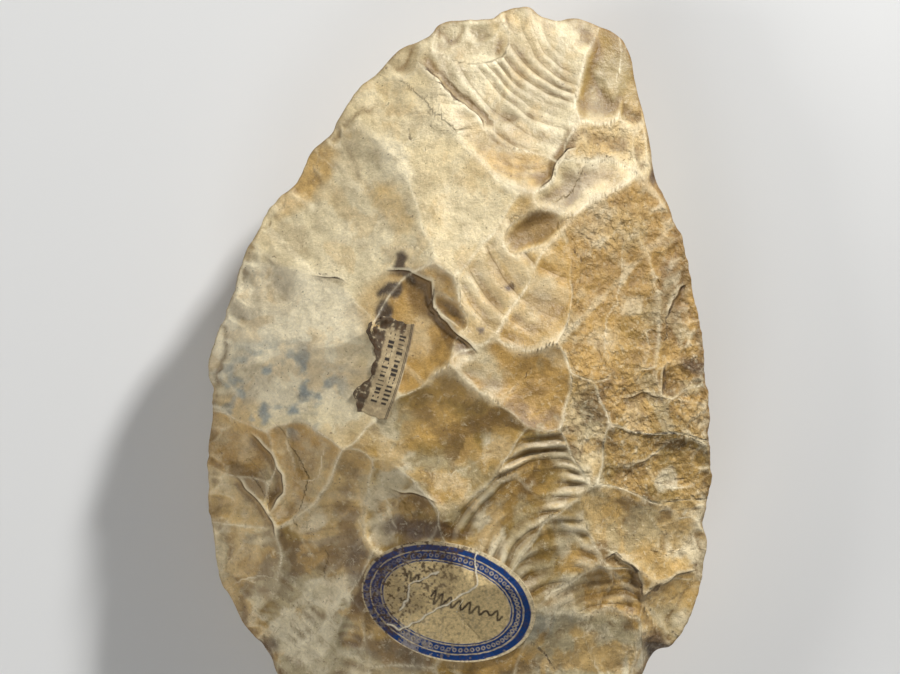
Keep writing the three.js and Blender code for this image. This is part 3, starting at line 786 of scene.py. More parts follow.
# The blue-grey cloud on the left of the front: its middle, and half its length and width
COLD_PLACE = (-36, 2)
COLD_SIZE = (13, 9)

# Patches of colour on the front: place, half length, half width, turn, colour and strength
FRONT_STAINS = [
    # Broad patches
    (42, 22, 9, 4, 75, BROWN, 0.55), (38, -6, 9, 5, 0, OLIVE, 0.6), (-24, -18, 8, 6, 70, SAND, 0.8),
    (10, 49, 9, 4, -28, TAN, 0.4), (12, 71, 9, 5, -60, SAND, 0.4), (-30, -36, 9, 6, 70, TAN, 0.5),
    (8, -54, 9, 4, 10, BROWN, 0.8), (-33, 3, 13, 6, 10, BRIGHT, 0.7),
    (-31, 44, 9, 4, 52, OCHRE, 0.8), (-14, 38, 7, 3, -50, SAND, 0.7),
    (-40, 34, 6, 4, 60, CREAM, 0.8), (-44, -3, 6, 4, 0, SAND, 0.6),
    (-22, 12, 8, 4, 40, BRIGHT, 0.4), (-13, 48, 6, 3, -50, BRIGHT, 0.7),
    (0, 63, 6, 3, -60, PALE, 0.8), (25, 44, 6, 3, 30, BRIGHT, 0.9), (34, 47, 5, 4, 0, CREAM, 0.7),
    (4, 27, 8, 4, 60, CREAM, 0.8), (33, 34, 6, 5, 0, SAND, 0.5), (36, 12, 9, 5, 80, OLIVE, 0.6),
    (4, 7, 6, 3, -40, PALE, 0.8), (-5, -5, 6, 4, 0, OCHRE, 0.8), (8, -4, 7, 3, 20, BROWN, 0.5),
    (-16, -6, 8, 4, 20, GREY, 0.7), (-4, -14, 10, 4, 0, GREY, 0.6),
    (-36, -17, 5, 3, -60, CREAM, 0.6), (-24, -23, 3.5, 3, 0, OCHRE, 0.9),
    (14, -14, 9, 4, 45, BROWN, 0.5), (21.5, -32, 3, 2, 0, OCHRE, 0.9),
    (22, -24, 9, 4, -70, SAND, 0.5), (40, -27, 9, 5, 0, SAND, 0.7), (38, -8, 8, 4, 0, OLIVE, 0.7),
    (24, -8, 5, 8, 0, CREAM, 0.6), (-33, -42, 8, 4, 60, GREY, 0.6),
    (16, -44, 8, 3, 20, BLUE_GREY, 0.5), (-16, -52, 10, 4, 0, PALE, 0.5),
    (14, -62, 14, 8, 0, GREY, 0.6), (-20, -62, 10, 8, 0, TAN, 0.6), (0, -72, 14, 5, 0, BROWN, 0.4),
    # Lighter places in the darker half
    (30, 64, 6, 4, 60, GREY, 0.5), (-25, -22, 7, 4, 70, SAND, 0.8),
    (-33, 16, 8, 4, 20, BRIGHT, 0.6), (38, 3, 6, 4, 80, OCHRE, 0.8),
    (42, 20, 9, 3.5, 80, BROWN, 0.5), (-44, -30, 5, 4, 80, CREAM, 0.6),
    (-31, -35, 7, 4, 70, GREY, 0.6), (10, -20, 8, 3, 50, TAN, 0.6), (-20, -46, 6, 3, 40, GREY, 0.5),
    (-4, 57, 5, 3, -50, CREAM, 0.5),
]
# Dark crusts, dirty cracks and edges, and some painted shade, laid over everything else
FRONT_CRUSTS_AND_SHADE = [
    (-17.5, 12, 2.2, 4.5, -15, GREY, 0.7), (-14, 20, 9, 5, 40, TAN, 0.6),
    (-8, 21, 5, 3, -60, BROWN, 0.8), (-2, 14, 8, 1.6, -48, SOIL, 0.5),
    (-12, 27.4, 2.6, 1.3, 60, CRUST, 1.0), (-10.6, 25, 1.8, 1.2, -30, CRUST, 1.0),
    (-14, 21.5, 2.4, 1.4, 15, CRUST, 1.0), (-15, 17.6, 2.2, 1.8, 80, CRUST, 1.0),
    # A crust above the oval label, then dirt with painted shadow at its left end and along its
    # lower left edge
    (-7, -25.4, 9, 2.0, -6, SOIL, 0.9), (-19.5, -38, 5, 1.6, 80, BROWN, 0.8),
    (-20, -36, 8, 2.4, -75, SOIL, 0.6), (-14, -50, 9, 2.2, -15, SOIL, 0.6),
    # The brown patch at (16, 36) is painted shade on the upper side of the pit
    (3, -5, 9, 2.2, 12, BROWN, 0.6), (16, 36, 3.6, 1.6, 20, BROWN, 0.8),
    (26, 72, 4, 1.2, -60, BROWN, 0.7), (47, 7, 3, 1.6, -30, SOIL, 0.9),
    (38.8, 45, 2.4, 1, 90, SOIL, 0.9), (-41, -51, 5, 3, 40, SOIL, 0.8),
    (40, -50, 5, 3, -40, SOIL, 0.9), (-42, -16, 6, 2, -40, BROWN, 0.6),
    (9.8, 22, 0.8, 0.8, 0, DARK, 1.0), (4.3, 14, 0.7, 0.7, 0, DARK, 1.0),
    (21, 50, 5, 1.4, 60, BROWN, 0.7),
]
BACK_STAINS = [
    (0, 60, 14, 8, 60, PALE, 0.7), (24, 30, 10, 6, -40, GREY, 0.6),
    (-10, -20, 14, 8, 30, OCHRE, 0.5), (14, -50, 12, 6, 0, GREY, 0.6),
    (-24, 10, 10, 5, 70, PALE, 0.5), (0, -72, 14, 5, 0, BROWN, 0.5),
]


def add_stains(tint, stains, x, y):
    wx = x + 1.4 * fractal(x, y, 4, 4, 81)
    wy = y + 1.4 * fractal(x, y, 4, 4, 91)
    for px, py, length, width, turn, colour, strength in stains:
        along, across = turned(wx - px, wy - py, math.radians(turn))
        out = np.hypot(along / length, across / width)
        tint = blend(tint, colour, strength * smooth_step((1.25 - out) / 0.6))
    return tint


def busyness(x, y):
    """How much the stone is mottled: the lower half more than the point."""
    return 0.4 + 0.6 * smooth_step((12 - y + 0.5 * x) / 30)


def ridge_distance(lead, cell):
    """Distance to the nearest ridge, from how fast the lead of a scar grows away from it."""
    slope = np.zeros_like(lead)
    for axis in (0, 1):
        change = np.abs(np.diff(lead, axis=axis)) / cell
        before = np.insert(change, 0, 0, axis=axis)
        after = np.insert(change, change.shape[axis], 0, axis=axis)
        slope = np.maximum(slope, np.maximum(before, after))
    # Where the lead hardly grows there is no ridge to see, and so it is put further away
    return lead / (slope + 1e-3) + 3 * (1 - smooth_step(slope / 0.25))


def cell_size(cells):
    return (DRAWN_LENGTH + DRAWN_WIDTH) / 2 / cells


def stone_colours(cells, height, facts, face, stains, crusts_and_shade, x, y):
    """Colours of one face: scars, stains, mottles, bright ridges of wear and painted highlight, and
    hollows darkened by dirt and painted shade.
    """
    cell = cell_size(cells)
    # The last colour is for the uncut middle of the back, whose owner is -1
    tints = np.array([linear(facet["tint"]) for facet in face["facets"]] + [linear(TAN)])
    tint = tints[facts["owner"]]
    for channel in range(3):
        tint[..., channel] = blurred(tint[..., channel], 4)
    tint = add_stains(tint, stains, x, y)
    busy = busyness(x, y)
    mottle = fractal(x, y, 7, 6, 41)
    tint = blend(tint, BROWN, 0.75 * busy * smooth_step((mottle - 0.12) / 0.28))
    tint = blend(tint, BRIGHT, 0.65 * busy * smooth_step((-mottle - 0.15) / 0.28))
    veins = fractal(*wavered(x, y, 2, 5, 36), 5, 5, 38)
    tint = blend(tint, OCHRE, 0.65 * busy * smooth_step((veins - 0.12) / 0.16))
    tint = blend(tint, GREY, 0.55 * busy * smooth_step((-veins - 0.2) / 0.16))
    cold_x, cold_y = (x - COLD_PLACE[0]) / COLD_SIZE[0], (y - COLD_PLACE[1]) / COLD_SIZE[1]
    cold = smooth_step(1.5 - np.hypot(cold_x, cold_y))
    tint = blend(tint, BLUE_GREY, cold * smooth_step(1.9 * fractal(x, y, 2.6, 6, 39)))
    tint = blend(tint, BROWN, 0.4 * facts["rough"] * smooth_step(fractal(x, y, 2.4, 3, 45) * 1.6))
    # Hollows are painted darker, for dirt and as painted shade
    hollow = blurred(height, round(1.2 / cell) ** 2) - height
    broad_hollow = blurred(height, round(3.5 / cell) ** 2) - height
    tint = blend(tint, BROWN, 0.6 * busy * smooth_step((broad_hollow - 0.05) / 0.6))
    tint = blend(tint, BROWN, 0.65 * smooth_step((hollow - 0.01) / 0.16))
    # Raised places are painted lighter, for wear and as a painted highlight
    proud = smooth_step(-hollow / 0.12) * (0.6 + 0.4 * noise(x, y, 4, 47))
    tint = blend(tint, BRIGHT, 0.55 * proud)
    tint = add_stains(tint, crusts_and_shade, x, y)
    # A bright line along the ridges and the rims of the nicks, for wear and as a painted highlight
    ridge = bell(ridge_distance(facts["lead"], cell), RIDGE_PAINT)
    ridge *= 0.6 + 0.5 * noise(x, y, 5, 77)
    nicks = bell(ridge_distance(facts["nick_lead"], cell), RIDGE_PAINT)
    nicks *= np.exp(-facts["inward"] / 4)
    return blend(tint, BRIGHT, 0.3 * np.maximum(ridge, 0.7 * nicks))


def stone_finish(cells, facts, x, y):
    """What the finish sharpens: ripples, rough places, steps with their dirt and painted shade,
    cracks and ridges.
    """
    ripples = np.stack([facts["phase"], facts["swell"], facts["rough"]], axis=-1)
    steps = np.stack([facts["step"], facts["dirt_and_shade"], facts["crack"]], axis=-1)
    ridge = ridge_distance(facts["lead"], cell_size(cells))
    # The third share isn't used
    ridges = np.stack([ridge, busyness(x, y), np.zeros_like(ridge)], axis=-1)
    return ripples, steps, ridges


def build_stone():
    x, y = slide_to_ridges(FRONT, *stone_grid(FRONT_CELLS))
    height, facts = face_surface(FRONT, x, y)
    tint = stone_colours(FRONT_CELLS, height, facts, FRONT, FRONT_STAINS, FRONT_CRUSTS_AND_SHADE, x, y)
    top = to_scene(x, y, edge_height(x, y) + height + EDGE_BLUNTNESS / 2)
    u, v = slide_to_ridges(BACK, *stone_grid(BACK_CELLS))
    depth, under = face_surface(BACK, u, v)
    under_tint = stone_colours(BACK_CELLS, depth, under, BACK, BACK_STAINS, [], u, v)
    low = np.maximum(edge_height(u, v) - depth - EDGE_BLUNTNESS / 2, 0)
    piece = closed_body("stone", FRONT_CELLS, BACK_CELLS, top, to_scene(u, v, low))
    paint(piece, "tint", tint, under_tint)
    finishes = stone_finish(FRONT_CELLS, facts, x, y), stone_finish(BACK_CELLS, under, u, v)
    for name, *sides in zip(("ripples", "steps", "ridges"), *finishes):
        paint(piece, name, *sides)
    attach(piece, "root")
    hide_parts("hand_axe")
    return piece


# The two paper labels: places and sizes as in the frame. A label's face lies this far above the
# stone, its underside this far inside, and it bridges hollows that are about this wide
PAPER_LIFT = 0.3
PAPER_SINK = 0.35
PAPER_SOFTNESS = 1.6
OVAL_PLACE = (-2.3, -39.9)
OVAL_LENGTH = 35
OVAL_WIDTH = 23.3
OVAL_TURN = -15
STRIP_PLACE = (-14.3, 6.2)
STRIP_LENGTH = 19.5
STRIP_WIDTH = 5.6
STRIP_TURN = -106

PAPER = (222, 196, 142)
PAPER_EDGE = (226, 206, 164)
TORN_PAPER_AND_HIGHLIGHT = (238, 226, 198)
BLUE_INK = (6, 56, 116)
INK = (48, 32, 24)
PRINT_PAPER = (172, 152, 116)
PRINT_INK = (34, 28, 28)

# Bands of the oval's frame, from its rim inwards: where each ends, and its colour
OVAL_BANDS = [
    (0.55, PAPER_EDGE), (1.8, BLUE_INK), (2.0, PAPER_EDGE), (3.75, BLUE_INK), (3.95, PAPER_EDGE),
    (4.25, BLUE_INK), (4.4, PAPER_EDGE),
]
# The ring of beads: how deep inside the rim, their radius, half their line's width and their count
BEAD_DEPTH = 2.85
BEAD_RADIUS = 0.32
BEAD_LINE = 0.11
BEAD_COUNT = 72
# The frame was printed a little off the middle of the label: how far, and which way in radians
PRINT_SHIFT = 0.35
PRINT_SHIFT_TURN = 0.9
# Half widths of the pen lines and of the tears
PEN_WIDTH = 0.22
TEAR_WIDTH = 0.15

# Wavy pen lines on the oval label, about its middle: start, end, waves and height
OVAL_SCRIBBLES = [
    ((-8.2, 5.2), (-5.2, 4.4), 2, 0.7), ((-3.4, 1.2), (-0.6, 0.2), 2, 1.1),
    ((-0.4, 0.2), (10.6, -3.0), 6, 0.8),
]
# Points for each wave of a pen line
SCRIBBLE_STEPS = 7

# The strip's bow, its two printed rules, in from its right side, and its rows of marks: where each
# row lies across the strip, and its height
STRIP_BOW = 0.5
PRINT_RULES = (0.35, 0.62)
PRINT_ROWS = ((0.9, 0.9), (-1.1, 1.0))
# Spacing of the marks, and half the length of a row
PRINT_PITCH = 0.86
PRINT_HALF = 7

# Tears of the oval label, about its middle
OVAL_TEARS = [
    [(5.6, 9.7), (5.1, 5.7), (5.6, 3.7), (4.3, 2.4), (0.3, 0.0), (-5.0, -3.3), (-9.4, -5.6),
     (-11.9, -4.5)],
    [(-2.0, 6.0), (-7.4, 3.7), (-8.0, 0.4), (-9.4, -1.6)],
]


def local_place(place, turn, along, across):
    """A place on a turned label as a place in the layout."""
    cos, sin = math.cos(math.radians(turn)), math.sin(math.radians(turn))
    return (place[0] + (along * cos - across * sin) / STRETCH_X,
            place[1] + (along * sin + across * cos) / STRETCH_Y)


def paper_body(name, node, cells, length, places):
    """A thin sheet on the front of the stone, with its underside sunk into it."""
    sheets = []
    for count, lift in ((cells, PAPER_LIFT), (UNDER_CELLS, -PAPER_SINK)):
        x, y = places(*grid(count))
        stone = edge_height(x, y) + face_surface(FRONT, x, y)[0]
        passes = round(4 * (PAPER_SOFTNESS * count / length) ** 2)
        paper = blurred(np.maximum(stone, blurred(stone, passes)), passes // 6)
        sheets.append(to_scene(x, y, paper + lift))
    piece = closed_body(name, cells, UNDER_CELLS, *sheets)
    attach(piece, "root")
    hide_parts(node)
    return piece


def band_colours(bands, inner, depth):
    colour = np.zeros(depth.shape + (3,)) + linear(inner)
    for end, band in reversed(bands):
        colour = blend(colour, band, smooth_step((end - depth) / 0.12 + 0.5))
    return colour


def stroke(points, x, y, width):
    """Share of ink along a line of points."""
    distance, _, _ = polyline_distance(points, x, y)
    return smooth_step(1.5 - distance / width)


def scribble(start, end, waves, tall):
    """A slanted wavy line of uneven height, as of a pen."""
    steps = SCRIBBLE_STEPS * waves
    points = []
    for k in range(steps + 1):
        share = k / steps
        uneven = 0.3 + scatter(k // SCRIBBLE_STEPS + 3)
        height = tall * uneven * math.sin(2 * math.pi * waves * share)
        points.append((start[0] + (end[0] - start[0]) * share + 0.45 * height,
                       start[1] + (end[1] - start[1]) * share + height))
    return points


def oval_layout(a, b):
    """Share of the radius and angle on the oval label, and the place along and across it."""
    share, angle = square_to_disk(a, b)
    along, across = OVAL_LENGTH / 2 * share * np.cos(angle), OVAL_WIDTH / 2 * share * np.sin(angle)
    return share, angle, along, across


def oval_depth(share, far):
    """How deep inside the rim a share of the radius lies, where the radius is that far."""
    return (1 - share) * (0.55 * far + 6.3)


def print_shift(angle):
    return PRINT_SHIFT * np.cos(angle - PRINT_SHIFT_TURN)


def add_beads(colour, along, across):
    """The ring of small printed circles between the two broad bands."""
    for bead in range(BEAD_COUNT):
        turn = 2 * math.pi * bead / BEAD_COUNT
        end_x, end_y = OVAL_LENGTH / 2 * math.cos(turn), OVAL_WIDTH / 2 * math.sin(turn)
        out = 1 - (BEAD_DEPTH + print_shift(turn)) / oval_depth(0, np.hypot(end_x, end_y))
        distance = np.hypot(along - out * end_x, across - out * end_y)
        clear = 0.35 + 0.2 * math.cos(turn) + 0.25 * scatter(bead)
        line = smooth_step(1.5 - np.abs(distance - BEAD_RADIUS) / BEAD_LINE)
        colour = blend(colour, PAPER_EDGE, clear * line)
    return colour


def oval_colours(a, b):
    """Printed frame, beads, wear, dirt, ink strokes, and tears with painted shadow and highlight,
    of the oval label.
    """
    share, angle, along, across = oval_layout(a, b)
    x, y = local_place((0, 0), OVAL_TURN, along, across)
    # At the very middle the radius has no length, and the depth is beyond the last band
    depth = oval_depth(share, np.hypot(along, across) / np.maximum(share, 1e-3))
    depth = np.where(share < 0.05, 9, depth) + 0.10 * fractal(x, y, 1.4, 2, 110)
    colour = add_beads(band_colours(OVAL_BANDS, PAPER, depth - print_shift(angle)), along, across)
    grain = fractal(x, y, 0.7, 3, 120)
    worn = smooth_step((grain + 0.75 * fractal(x, y, 4, 3, 130) - 0.35 - 0.03 * x) / 0.3)
    colour = blend(colour, PAPER_EDGE, 0.35 * worn)
    dirty = 0.8 * fractal(x, y, 6, 4, 140) + 0.4 * grain - 0.045 * x + 0.03 * y - 0.05
    colour = blend(colour, SOIL, 0.4 * smooth_step(dirty / 0.7))
    # The specks are thickest in the upper left
    speckled = 0.35 + 0.5 * smooth_step((2 - x + 0.8 * y) / 12)
    specks = fractal(x, y, 0.42, 2, 125) + 0.4 * grain
    colour = blend(colour, DARK, speckled * smooth_step((specks - 0.12) / 0.3))
    faded = 0.85 + 0.15 * noise(x, y, 1.5, 152)
    for scribbled in OVAL_SCRIBBLES:
        colour = blend(colour, INK, faded * stroke(scribble(*scribbled), x, y, PEN_WIDTH))
    wx, wy = wavered(x, y, 0.35, 1.1, 150)
    for tear in OVAL_TEARS:
        # Each tear: a painted shadow line to its lower left, and a bright line of torn paper with a
        # painted highlight
        colour = blend(colour, DARK, 0.6 * stroke(tear, wx + 0.3, wy + 0.3, 0.2))
        colour = blend(colour, TORN_PAPER_AND_HIGHLIGHT, 0.95 * stroke(tear, wx, wy, TEAR_WIDTH))
    return colour


def build_oval_label():
    def places(a, b):
        return local_place(OVAL_PLACE, OVAL_TURN, *oval_layout(a, b)[2:])

    piece = paper_body("oval_paper_label", "oval_label", LABEL_CELLS, OVAL_LENGTH, places)
    paint(piece, "tint", oval_colours(*grid(LABEL_CELLS)), oval_colours(*grid(UNDER_CELLS)))
    return piece


def crust_width(along):
    """How far the old crust stands out to the left of the printed strip, from its top down."""
    lumps = 3.3 * bell(along + 6.2, 2.6) + 2.2 * bell(along - 6.4, 2.4)
    return 0.5 + lumps + 0.5 * noise(along, along, 1.3, 160)


def strip_bow(a):
    """How far the strip bows to its right, the most at its middle."""
    return STRIP_BOW * (1 - a**2)


def strip_layout(a, b):
    """Along the strip from its top, and across it from its right side to the ragged left side."""
    along = a * STRIP_LENGTH / 2
    across = STRIP_WIDTH / 2 - (b + 1) / 2 * (STRIP_WIDTH + crust_width(along)) + strip_bow(a)
    return along + 0.35 * noise(across, across, 1.2, 161) * np.abs(a) ** 6, across


def print_marks(row, tall, along, edge):
    """One row of short strokes of uneven width and height."""
    place = (along + PRINT_HALF - 0.5) / PRINT_PITCH
    mark = np.floor(place)
    inside = np.abs(place - mark - 0.5) < 0.16 + 0.2 * scatter(mark + 10 * row)
    high = np.abs(edge - row) < tall * (0.45 + 0.3 * scatter(mark * 2.3 + row))
    bar = np.abs(np.abs(edge - row) - 0.5 * tall) < 0.12
    return inside & high & (np.abs(along) < PRINT_HALF) & ((scatter(mark + 5 * row) > 0.4) | bar)


def strip_colours(a, b):
    """Paper, rules, rows of marks and mottled crust of the printed strip."""
    along, across = strip_layout(a, b)
    edge = across - strip_bow(a)
    grain = fractal(along, across, 0.8, 3, 170)
    colour = np.zeros(a.shape + (3,)) + linear(PRINT_PAPER)
    colour = blend(colour, SOIL, 0.5 * smooth_step(fractal(along, across, 3, 3, 171) + 0.1))
    colour = blend(colour, PAPER_EDGE, 0.35 * smooth_step(-grain * 1.5))
    for inset in PRINT_RULES:
        rule = smooth_step(1.6 - np.abs(STRIP_WIDTH / 2 - inset - edge) / 0.07)
        colour = blend(colour, PRINT_INK, 0.8 * rule)
    for row, tall in PRINT_ROWS:
        colour = blend(colour, PRINT_INK, 0.95 * print_marks(row, tall, along, edge))
    crust = smooth_step((-STRIP_WIDTH / 2 + 0.5 - edge) / 0.5 + 0.6 * grain)
    top_crust = smooth_step((-along - STRIP_LENGTH / 2 + 2.6) / 1.5 + grain) * (edge < 1.2)
    crust = np.maximum(crust, top_crust)
    colour = blend(colour, CRUST, 0.95 * crust)
    flecks = fractal(along, across, 0.5, 2, 173)
    colour = blend(colour, PAPER_EDGE, 0.6 * crust * smooth_step((flecks - 0.3) / 0.3))
    return blend(colour, DARK, 0.8 * crust * smooth_step((-flecks - 0.1) / 0.3))


def build_printed_strip():
    def places(a, b):
        return local_place(STRIP_PLACE, STRIP_TURN, *strip_layout(a, b))

    piece = paper_body("printed_paper_strip", "printed_strip", STRIP_CELLS, STRIP_LENGTH, places)
    paint(piece, "tint", strip_colours(*grid(STRIP_CELLS)), strip_colours(*grid(UNDER_CELLS)))
    return piece


class Nodes:
    """Short ways to add and join shader nodes."""

    def __init__(self, name):
        self.material = bpy.data.materials.new(name)
        self.material.use_nodes = True
        self.tree = self.material.node_tree
        self.shader = self.tree.nodes["Principled BSDF"]
        self.place = self.tree.nodes.new("ShaderNodeTexCoord").outputs["Object"]

    def join(self, source, target):
        self.tree.links.new(source, target)

    def attribute(self, name):
        node = self.tree.nodes.new("ShaderNodeAttribute")
        node.attribute_name = name
        return node.outputs["Color"]

    def shares(self, name):
        """The three shares of an attribute."""
        node = self.tree.nodes.new("ShaderNodeSeparateColor")
        self.join(self.attribute(name), node.inputs["Color"])
        return node.outputs[:3]

    def noise(self, size_mm, detail=4, roughness=0.6, distortion=0.0):
        node = self.tree.nodes.new("ShaderNodeTexNoise")
        values = {"Scale": 1 / (size_mm * MM), "Detail": detail, "Roughness": roughness,
                  "Distortion": distortion}
        for socket, value in values.items():
            node.inputs[socket].default_value = value
        self.join(self.place, node.inputs["Vector"])
        return node.outputs["Fac"]

    def layers(self, size_mm, levels):
        """Steps of broken layers: their height in levels, and the share of the wall between two."""
        raised = self.math("MULTIPLY", self.noise(size_mm, 4, 0.5, 0.3), levels)
        floor = self.math("FLOOR", raised, 0)
        over = self.math("SUBTRACT", raised, floor)
        height = self.math("ADD", floor, self.stretch(over, 0.0, 0.25))
        return self.math("SUBTRACT", height, levels / 2), self.stretch(over, 0.3, 0.1)

    def cells(self, size_mm, shift_mm):
        """Distance to the nearest of many scattered points, with wandering borders between them."""
        shift = self.tree.nodes.new("ShaderNodeTexNoise")
        shift.inputs["Scale"].default_value = 0.7 / (size_mm * MM)
        self.join(self.place, shift.inputs["Vector"])
        moved = self.tree.nodes.new("ShaderNodeVectorMath")
        moved.operation = "MULTIPLY_ADD"
        self.join(shift.outputs["Color"], moved.inputs[0])
        moved.inputs[1].default_value = (shift_mm * MM,) * 3
        self.join(self.place, moved.inputs[2])
        node = self.tree.nodes.new("ShaderNodeTexVoronoi")
        node.inputs["Scale"].default_value = 1 / (size_mm * MM)
        self.join(moved.outputs["Vector"], node.inputs["Vector"])
        return node.outputs["Distance"]

    def stretch(self, source, low, high, new_low=0.0, new_high=1.0):
        node = self.tree.nodes.new("ShaderNodeMapRange")
        for socket, value in zip(("From Min", "From Max", "To Min", "To Max"),
                                 (low, high, new_low, new_high)):
            node.inputs[socket].default_value = value
        self.join(source, node.inputs["Value"])
        return node.outputs["Result"]

    def times(self, first, *others):
        """The product of sockets and numbers."""
        for value in others:
            first = self.math("MULTIPLY", first, value)
        return first

    def math(self, kind, first, second):
        node = self.tree.nodes.new("ShaderNodeMath")
        node.operation = kind
        for socket, value in zip(node.inputs, (first, second)):
            if isinstance(value, (int, float)):
                socket.default_value = value
            else:
                self.join(value, socket)
        return node.outputs["Value"]

    def grey(self, value):
        node = self.tree.nodes.new("ShaderNodeCombineColor")
        for socket in node.inputs[:3]:
            self.join(value, socket)
        return node.outputs["Color"]

    def mix(self, factor, first, second, kind="MIX"):
        node = self.tree.nodes.new("ShaderNodeMix")
        node.data_type = "RGBA"
        node.blend_type = kind
        colours = [socket for socket in node.inputs if socket.type == "RGBA"]
        for socket, value in zip((node.inputs["Factor"], *colours), (factor, first, second)):
            if isinstance(value, (int, float)):
                socket.default_value = value
            elif isinstance(value, tuple):
                socket.default_value = (*linear(value), 1)
            else:
                self.join(value, socket)
        return next(socket for socket in node.outputs if socket.type == "RGBA")

    def bump(self, height, distance_mm, normal=None):
        node = self.tree.nodes.new("ShaderNodeBump")
        node.inputs["Distance"].default_value = distance_mm * MM
        self.join(height, node.inputs["Height"])
        if normal:
            self.join(normal, node.inputs["Normal"])
        return node.outputs["Normal"]


def flint_material():
    nodes = Nodes("flint")
    phase, swell, rough = nodes.shares("ripples")
    step, dirt_and_shade, crack = nodes.shares("steps")
    ridge, busy, _ = nodes.shares("ridges")
    # Rounded swells with a narrow crease between them
    wave = nodes.math("ABSOLUTE", nodes.math("SINE", nodes.times(phase, math.pi), 0), 0)
    wave = nodes.stretch(nodes.math("POWER", wave, 0.6), 0.0, 1.0, -1.0, 0.5)
    swell = nodes.times(swell, wave)
    # Broad mottles and fine grain darken and lighten the painted tint
    mottle = nodes.stretch(nodes.noise(4, 8, 0.7, 0.8), 0.3, 0.7, 0.78, 1.16)
    grain = nodes.stretch(nodes.noise(0.5, 5, 0.7), 0.3, 0.7, 0.84, 1.12)
    tone = nodes.grey(nodes.times(mottle, grain))
    colour = nodes.mix(1.0, nodes.attribute("tint"), tone, "MULTIPLY")
    # Crisp grains and threads of brown and of pale stone
    threads = nodes.stretch(nodes.noise(2.4, 9, 0.74, 0.7), 0.53, 0.64, 0.0, 0.55)
    colour = nodes.mix(nodes.times(threads, busy), colour, BROWN)
    pale = nodes.stretch(nodes.noise(1.5, 9, 0.74, 0.4), 0.55, 0.68, 0.0, 0.55)
    colour = nodes.mix(nodes.times(pale, busy), colour, BRIGHT)
    # Painted shade darkens the creases of the ripples and a painted highlight their crests; brown
    # lies on the walls between broken layers
    colour = nodes.mix(nodes.stretch(swell, 0.0, -0.15, 0.0, 0.5), colour, BROWN)
    colour = nodes.mix(nodes.stretch(swell, 0.02, 0.08, 0.0, 0.25), colour, BRIGHT)
    layers, walls = nodes.layers(7.0, 8)
    small_scales = nodes.cells(1.3, 1.4)
    colour = nodes.mix(nodes.times(walls, rough, 0.3), colour, BROWN)
    crumbs = nodes.times(nodes.stretch(small_scales, 0.35, 0.1, 0.0, 0.3), rough)
    colour = nodes.mix(crumbs, colour, BRIGHT)
    # Dirt and painted shade lie just past a step, darkest in its corner; its edge gets wear and a
    # painted highlight
    patchy = nodes.stretch(nodes.noise(1.6, 5, 0.7), 0.35, 0.6, 0.5, 1.0)
    past = nodes.times(nodes.stretch(step, -0.05, 0.15), nodes.stretch(step, 2.2, 0.0))
    step_dirt_and_shade = nodes.times(past, dirt_and_shade, patchy)
    colour = nodes.mix(step_dirt_and_shade, colour, BROWN)
    colour = nodes.mix(nodes.times(nodes.stretch(step, 0.5, 0.15), step_dirt_and_shade), colour, SOIL)
    lip = nodes.times(nodes.stretch(step, -0.7, -0.15), nodes.stretch(step, 0.05, -0.1))
    colour = nodes.mix(nodes.times(lip, dirt_and_shade, 0.7), colour, BRIGHT)
    # Ridges get a fine bright line of wear and painted highlight, with gaps in it and none over
    # dark crust
    gaps = nodes.stretch(nodes.noise(5, 3, 0.6), 0.38, 0.62)
    clear = nodes.stretch(nodes.attribute("tint"), 0.07, 0.22)
    worn = nodes.times(nodes.stretch(ridge, 0.3, 0.08), gaps, clear)
    colour = nodes.mix(nodes.times(worn, 0.6), colour, BRIGHT)
    broken = nodes.stretch(nodes.noise(3.0, 4, 0.7), 0.42, 0.55)
    cracked = nodes.times(nodes.stretch(crack, 0.32, 0.12), broken)
    colour = nodes.mix(nodes.times(cracked, 0.75), colour, DARK)
    speck = nodes.stretch(nodes.noise(0.7, 2, 0.5), 0.69, 0.73)
    colour = nodes.mix(nodes.times(speck, 0.55), colour, DARK)
    nodes.join(colour, nodes.shader.inputs["Base Color"])
    gloss = nodes.stretch(nodes.noise(3, 4, 0.6), 0.3, 0.7, 0.32, 0.5)
    gloss = nodes.math("ADD", gloss, nodes.times(rough, 0.2))
    nodes.join(gloss, nodes.shader.inputs["Roughness"])
    lumps = nodes.math("SUBTRACT", nodes.noise(2.8, 6, 0.62, 0.3), 0.5)
    # Bumps, each over the ones before it: what stands out, and how far in millimetres
    bumps = [
        (swell, 1.0),
        (nodes.times(lumps, rough), 1.7),
        (nodes.times(layers, rough), 0.14),
        (nodes.times(small_scales, rough), 0.42),
        (nodes.cells(3.6, 3.0), 0.33),
        (nodes.math("SUBTRACT", 1, cracked), 0.25),
        (nodes.times(nodes.stretch(step, 0.3, 0.0), dirt_and_shade), 0.5),
        (nodes.noise(1.5, 6, 0.66), 0.34),
        (nodes.noise(0.3, 3, 0.6), 0.065),
    ]
    normal = None
    for height, distance_mm in bumps:
        normal = nodes.bump(height, distance_mm, normal)
    nodes.join(normal, nodes.shader.inputs["Normal"])
    return nodes.material


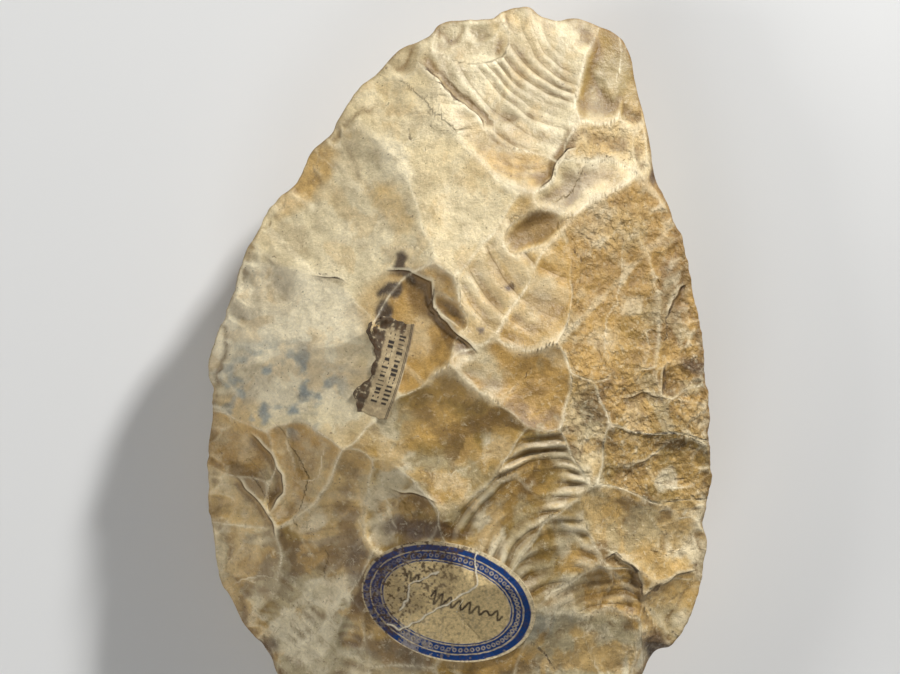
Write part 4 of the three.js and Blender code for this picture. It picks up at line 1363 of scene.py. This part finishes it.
def paper_material(name, fibre_mm, bump_mm):
    nodes = Nodes(name)
    fibre = nodes.noise(fibre_mm, 5, 0.7)
    tone = nodes.grey(nodes.stretch(fibre, 0.3, 0.7, 0.68, 1.2))
    colour = nodes.mix(1.0, nodes.attribute("tint"), tone, "MULTIPLY")
    nodes.join(colour, nodes.shader.inputs["Base Color"])
    nodes.shader.inputs["Roughness"].default_value = 0.72
    nodes.shader.inputs["Specular IOR Level"].default_value = 0.3
    nodes.join(nodes.bump(fibre, bump_mm), nodes.shader.inputs["Normal"])
    return nodes.material


def build_camera():
    """Straight above the axe. The photo's middle is a little left of and above the axe's middle."""
    photo_width_mm = 180
    middle = (-2.0, 12.4)
    lens, sensor = 250, 36
    distance = photo_width_mm * lens / sensor
    data = bpy.data.cameras.new("camera")
    data.lens = lens
    data.sensor_width = sensor
    camera = bpy.data.objects.new("camera", data)
    camera.location = Vector((middle[0], middle[1], BACK_RISE + distance)) * MM
    bpy.context.collection.objects.link(camera)
    bpy.context.scene.camera = camera


def build_floor():
    bpy.ops.mesh.primitive_plane_add(size=1.6)
    floor = bpy.context.object
    floor.name = "floor"
    nodes = Nodes("floor")
    nodes.shader.inputs["Base Color"].default_value = (0.74, 0.74, 0.73, 1)
    nodes.shader.inputs["Roughness"].default_value = 0.85
    floor.data.materials.append(nodes.material)


def area_light(name, place, size, power):
    data = bpy.data.lights.new(name, "AREA")
    data.size = size
    data.energy = power
    light = bpy.data.objects.new(name, data)
    light.location = place
    light.rotation_euler = (-Vector(place)).to_track_quat("-Z", "Y").to_euler()
    bpy.context.collection.objects.link(light)


def build_light():
    """A key from the upper right, fills from the left and from below, and a soft light above."""
    area_light("key", (0.42, 0.64, 0.38), 0.09, 9.6)
    area_light("fill", (-0.8, -0.1, 0.45), 0.25, 2.9)
    area_light("low fill", (-0.2, -0.9, 0.6), 0.4, 2.4)
    area_light("top", (0.0, 0.0, 1.5), 0.8, 0.5)
    world = bpy.data.worlds.new("world")
    world.use_nodes = True
    world.node_tree.nodes["Background"].inputs["Color"].default_value = (1, 1, 1, 1)
    world.node_tree.nodes["Background"].inputs["Strength"].default_value = 0.06
    bpy.context.scene.world = world
    bpy.context.scene.view_settings.view_transform = "Standard"


build_camera()
build_floor()
build_light()
build_stone().data.materials.append(flint_material())
build_oval_label().data.materials.append(paper_material("label paper", 0.5, 0.09))
build_printed_strip().data.materials.append(paper_material("strip paper", 0.6, 0.07))
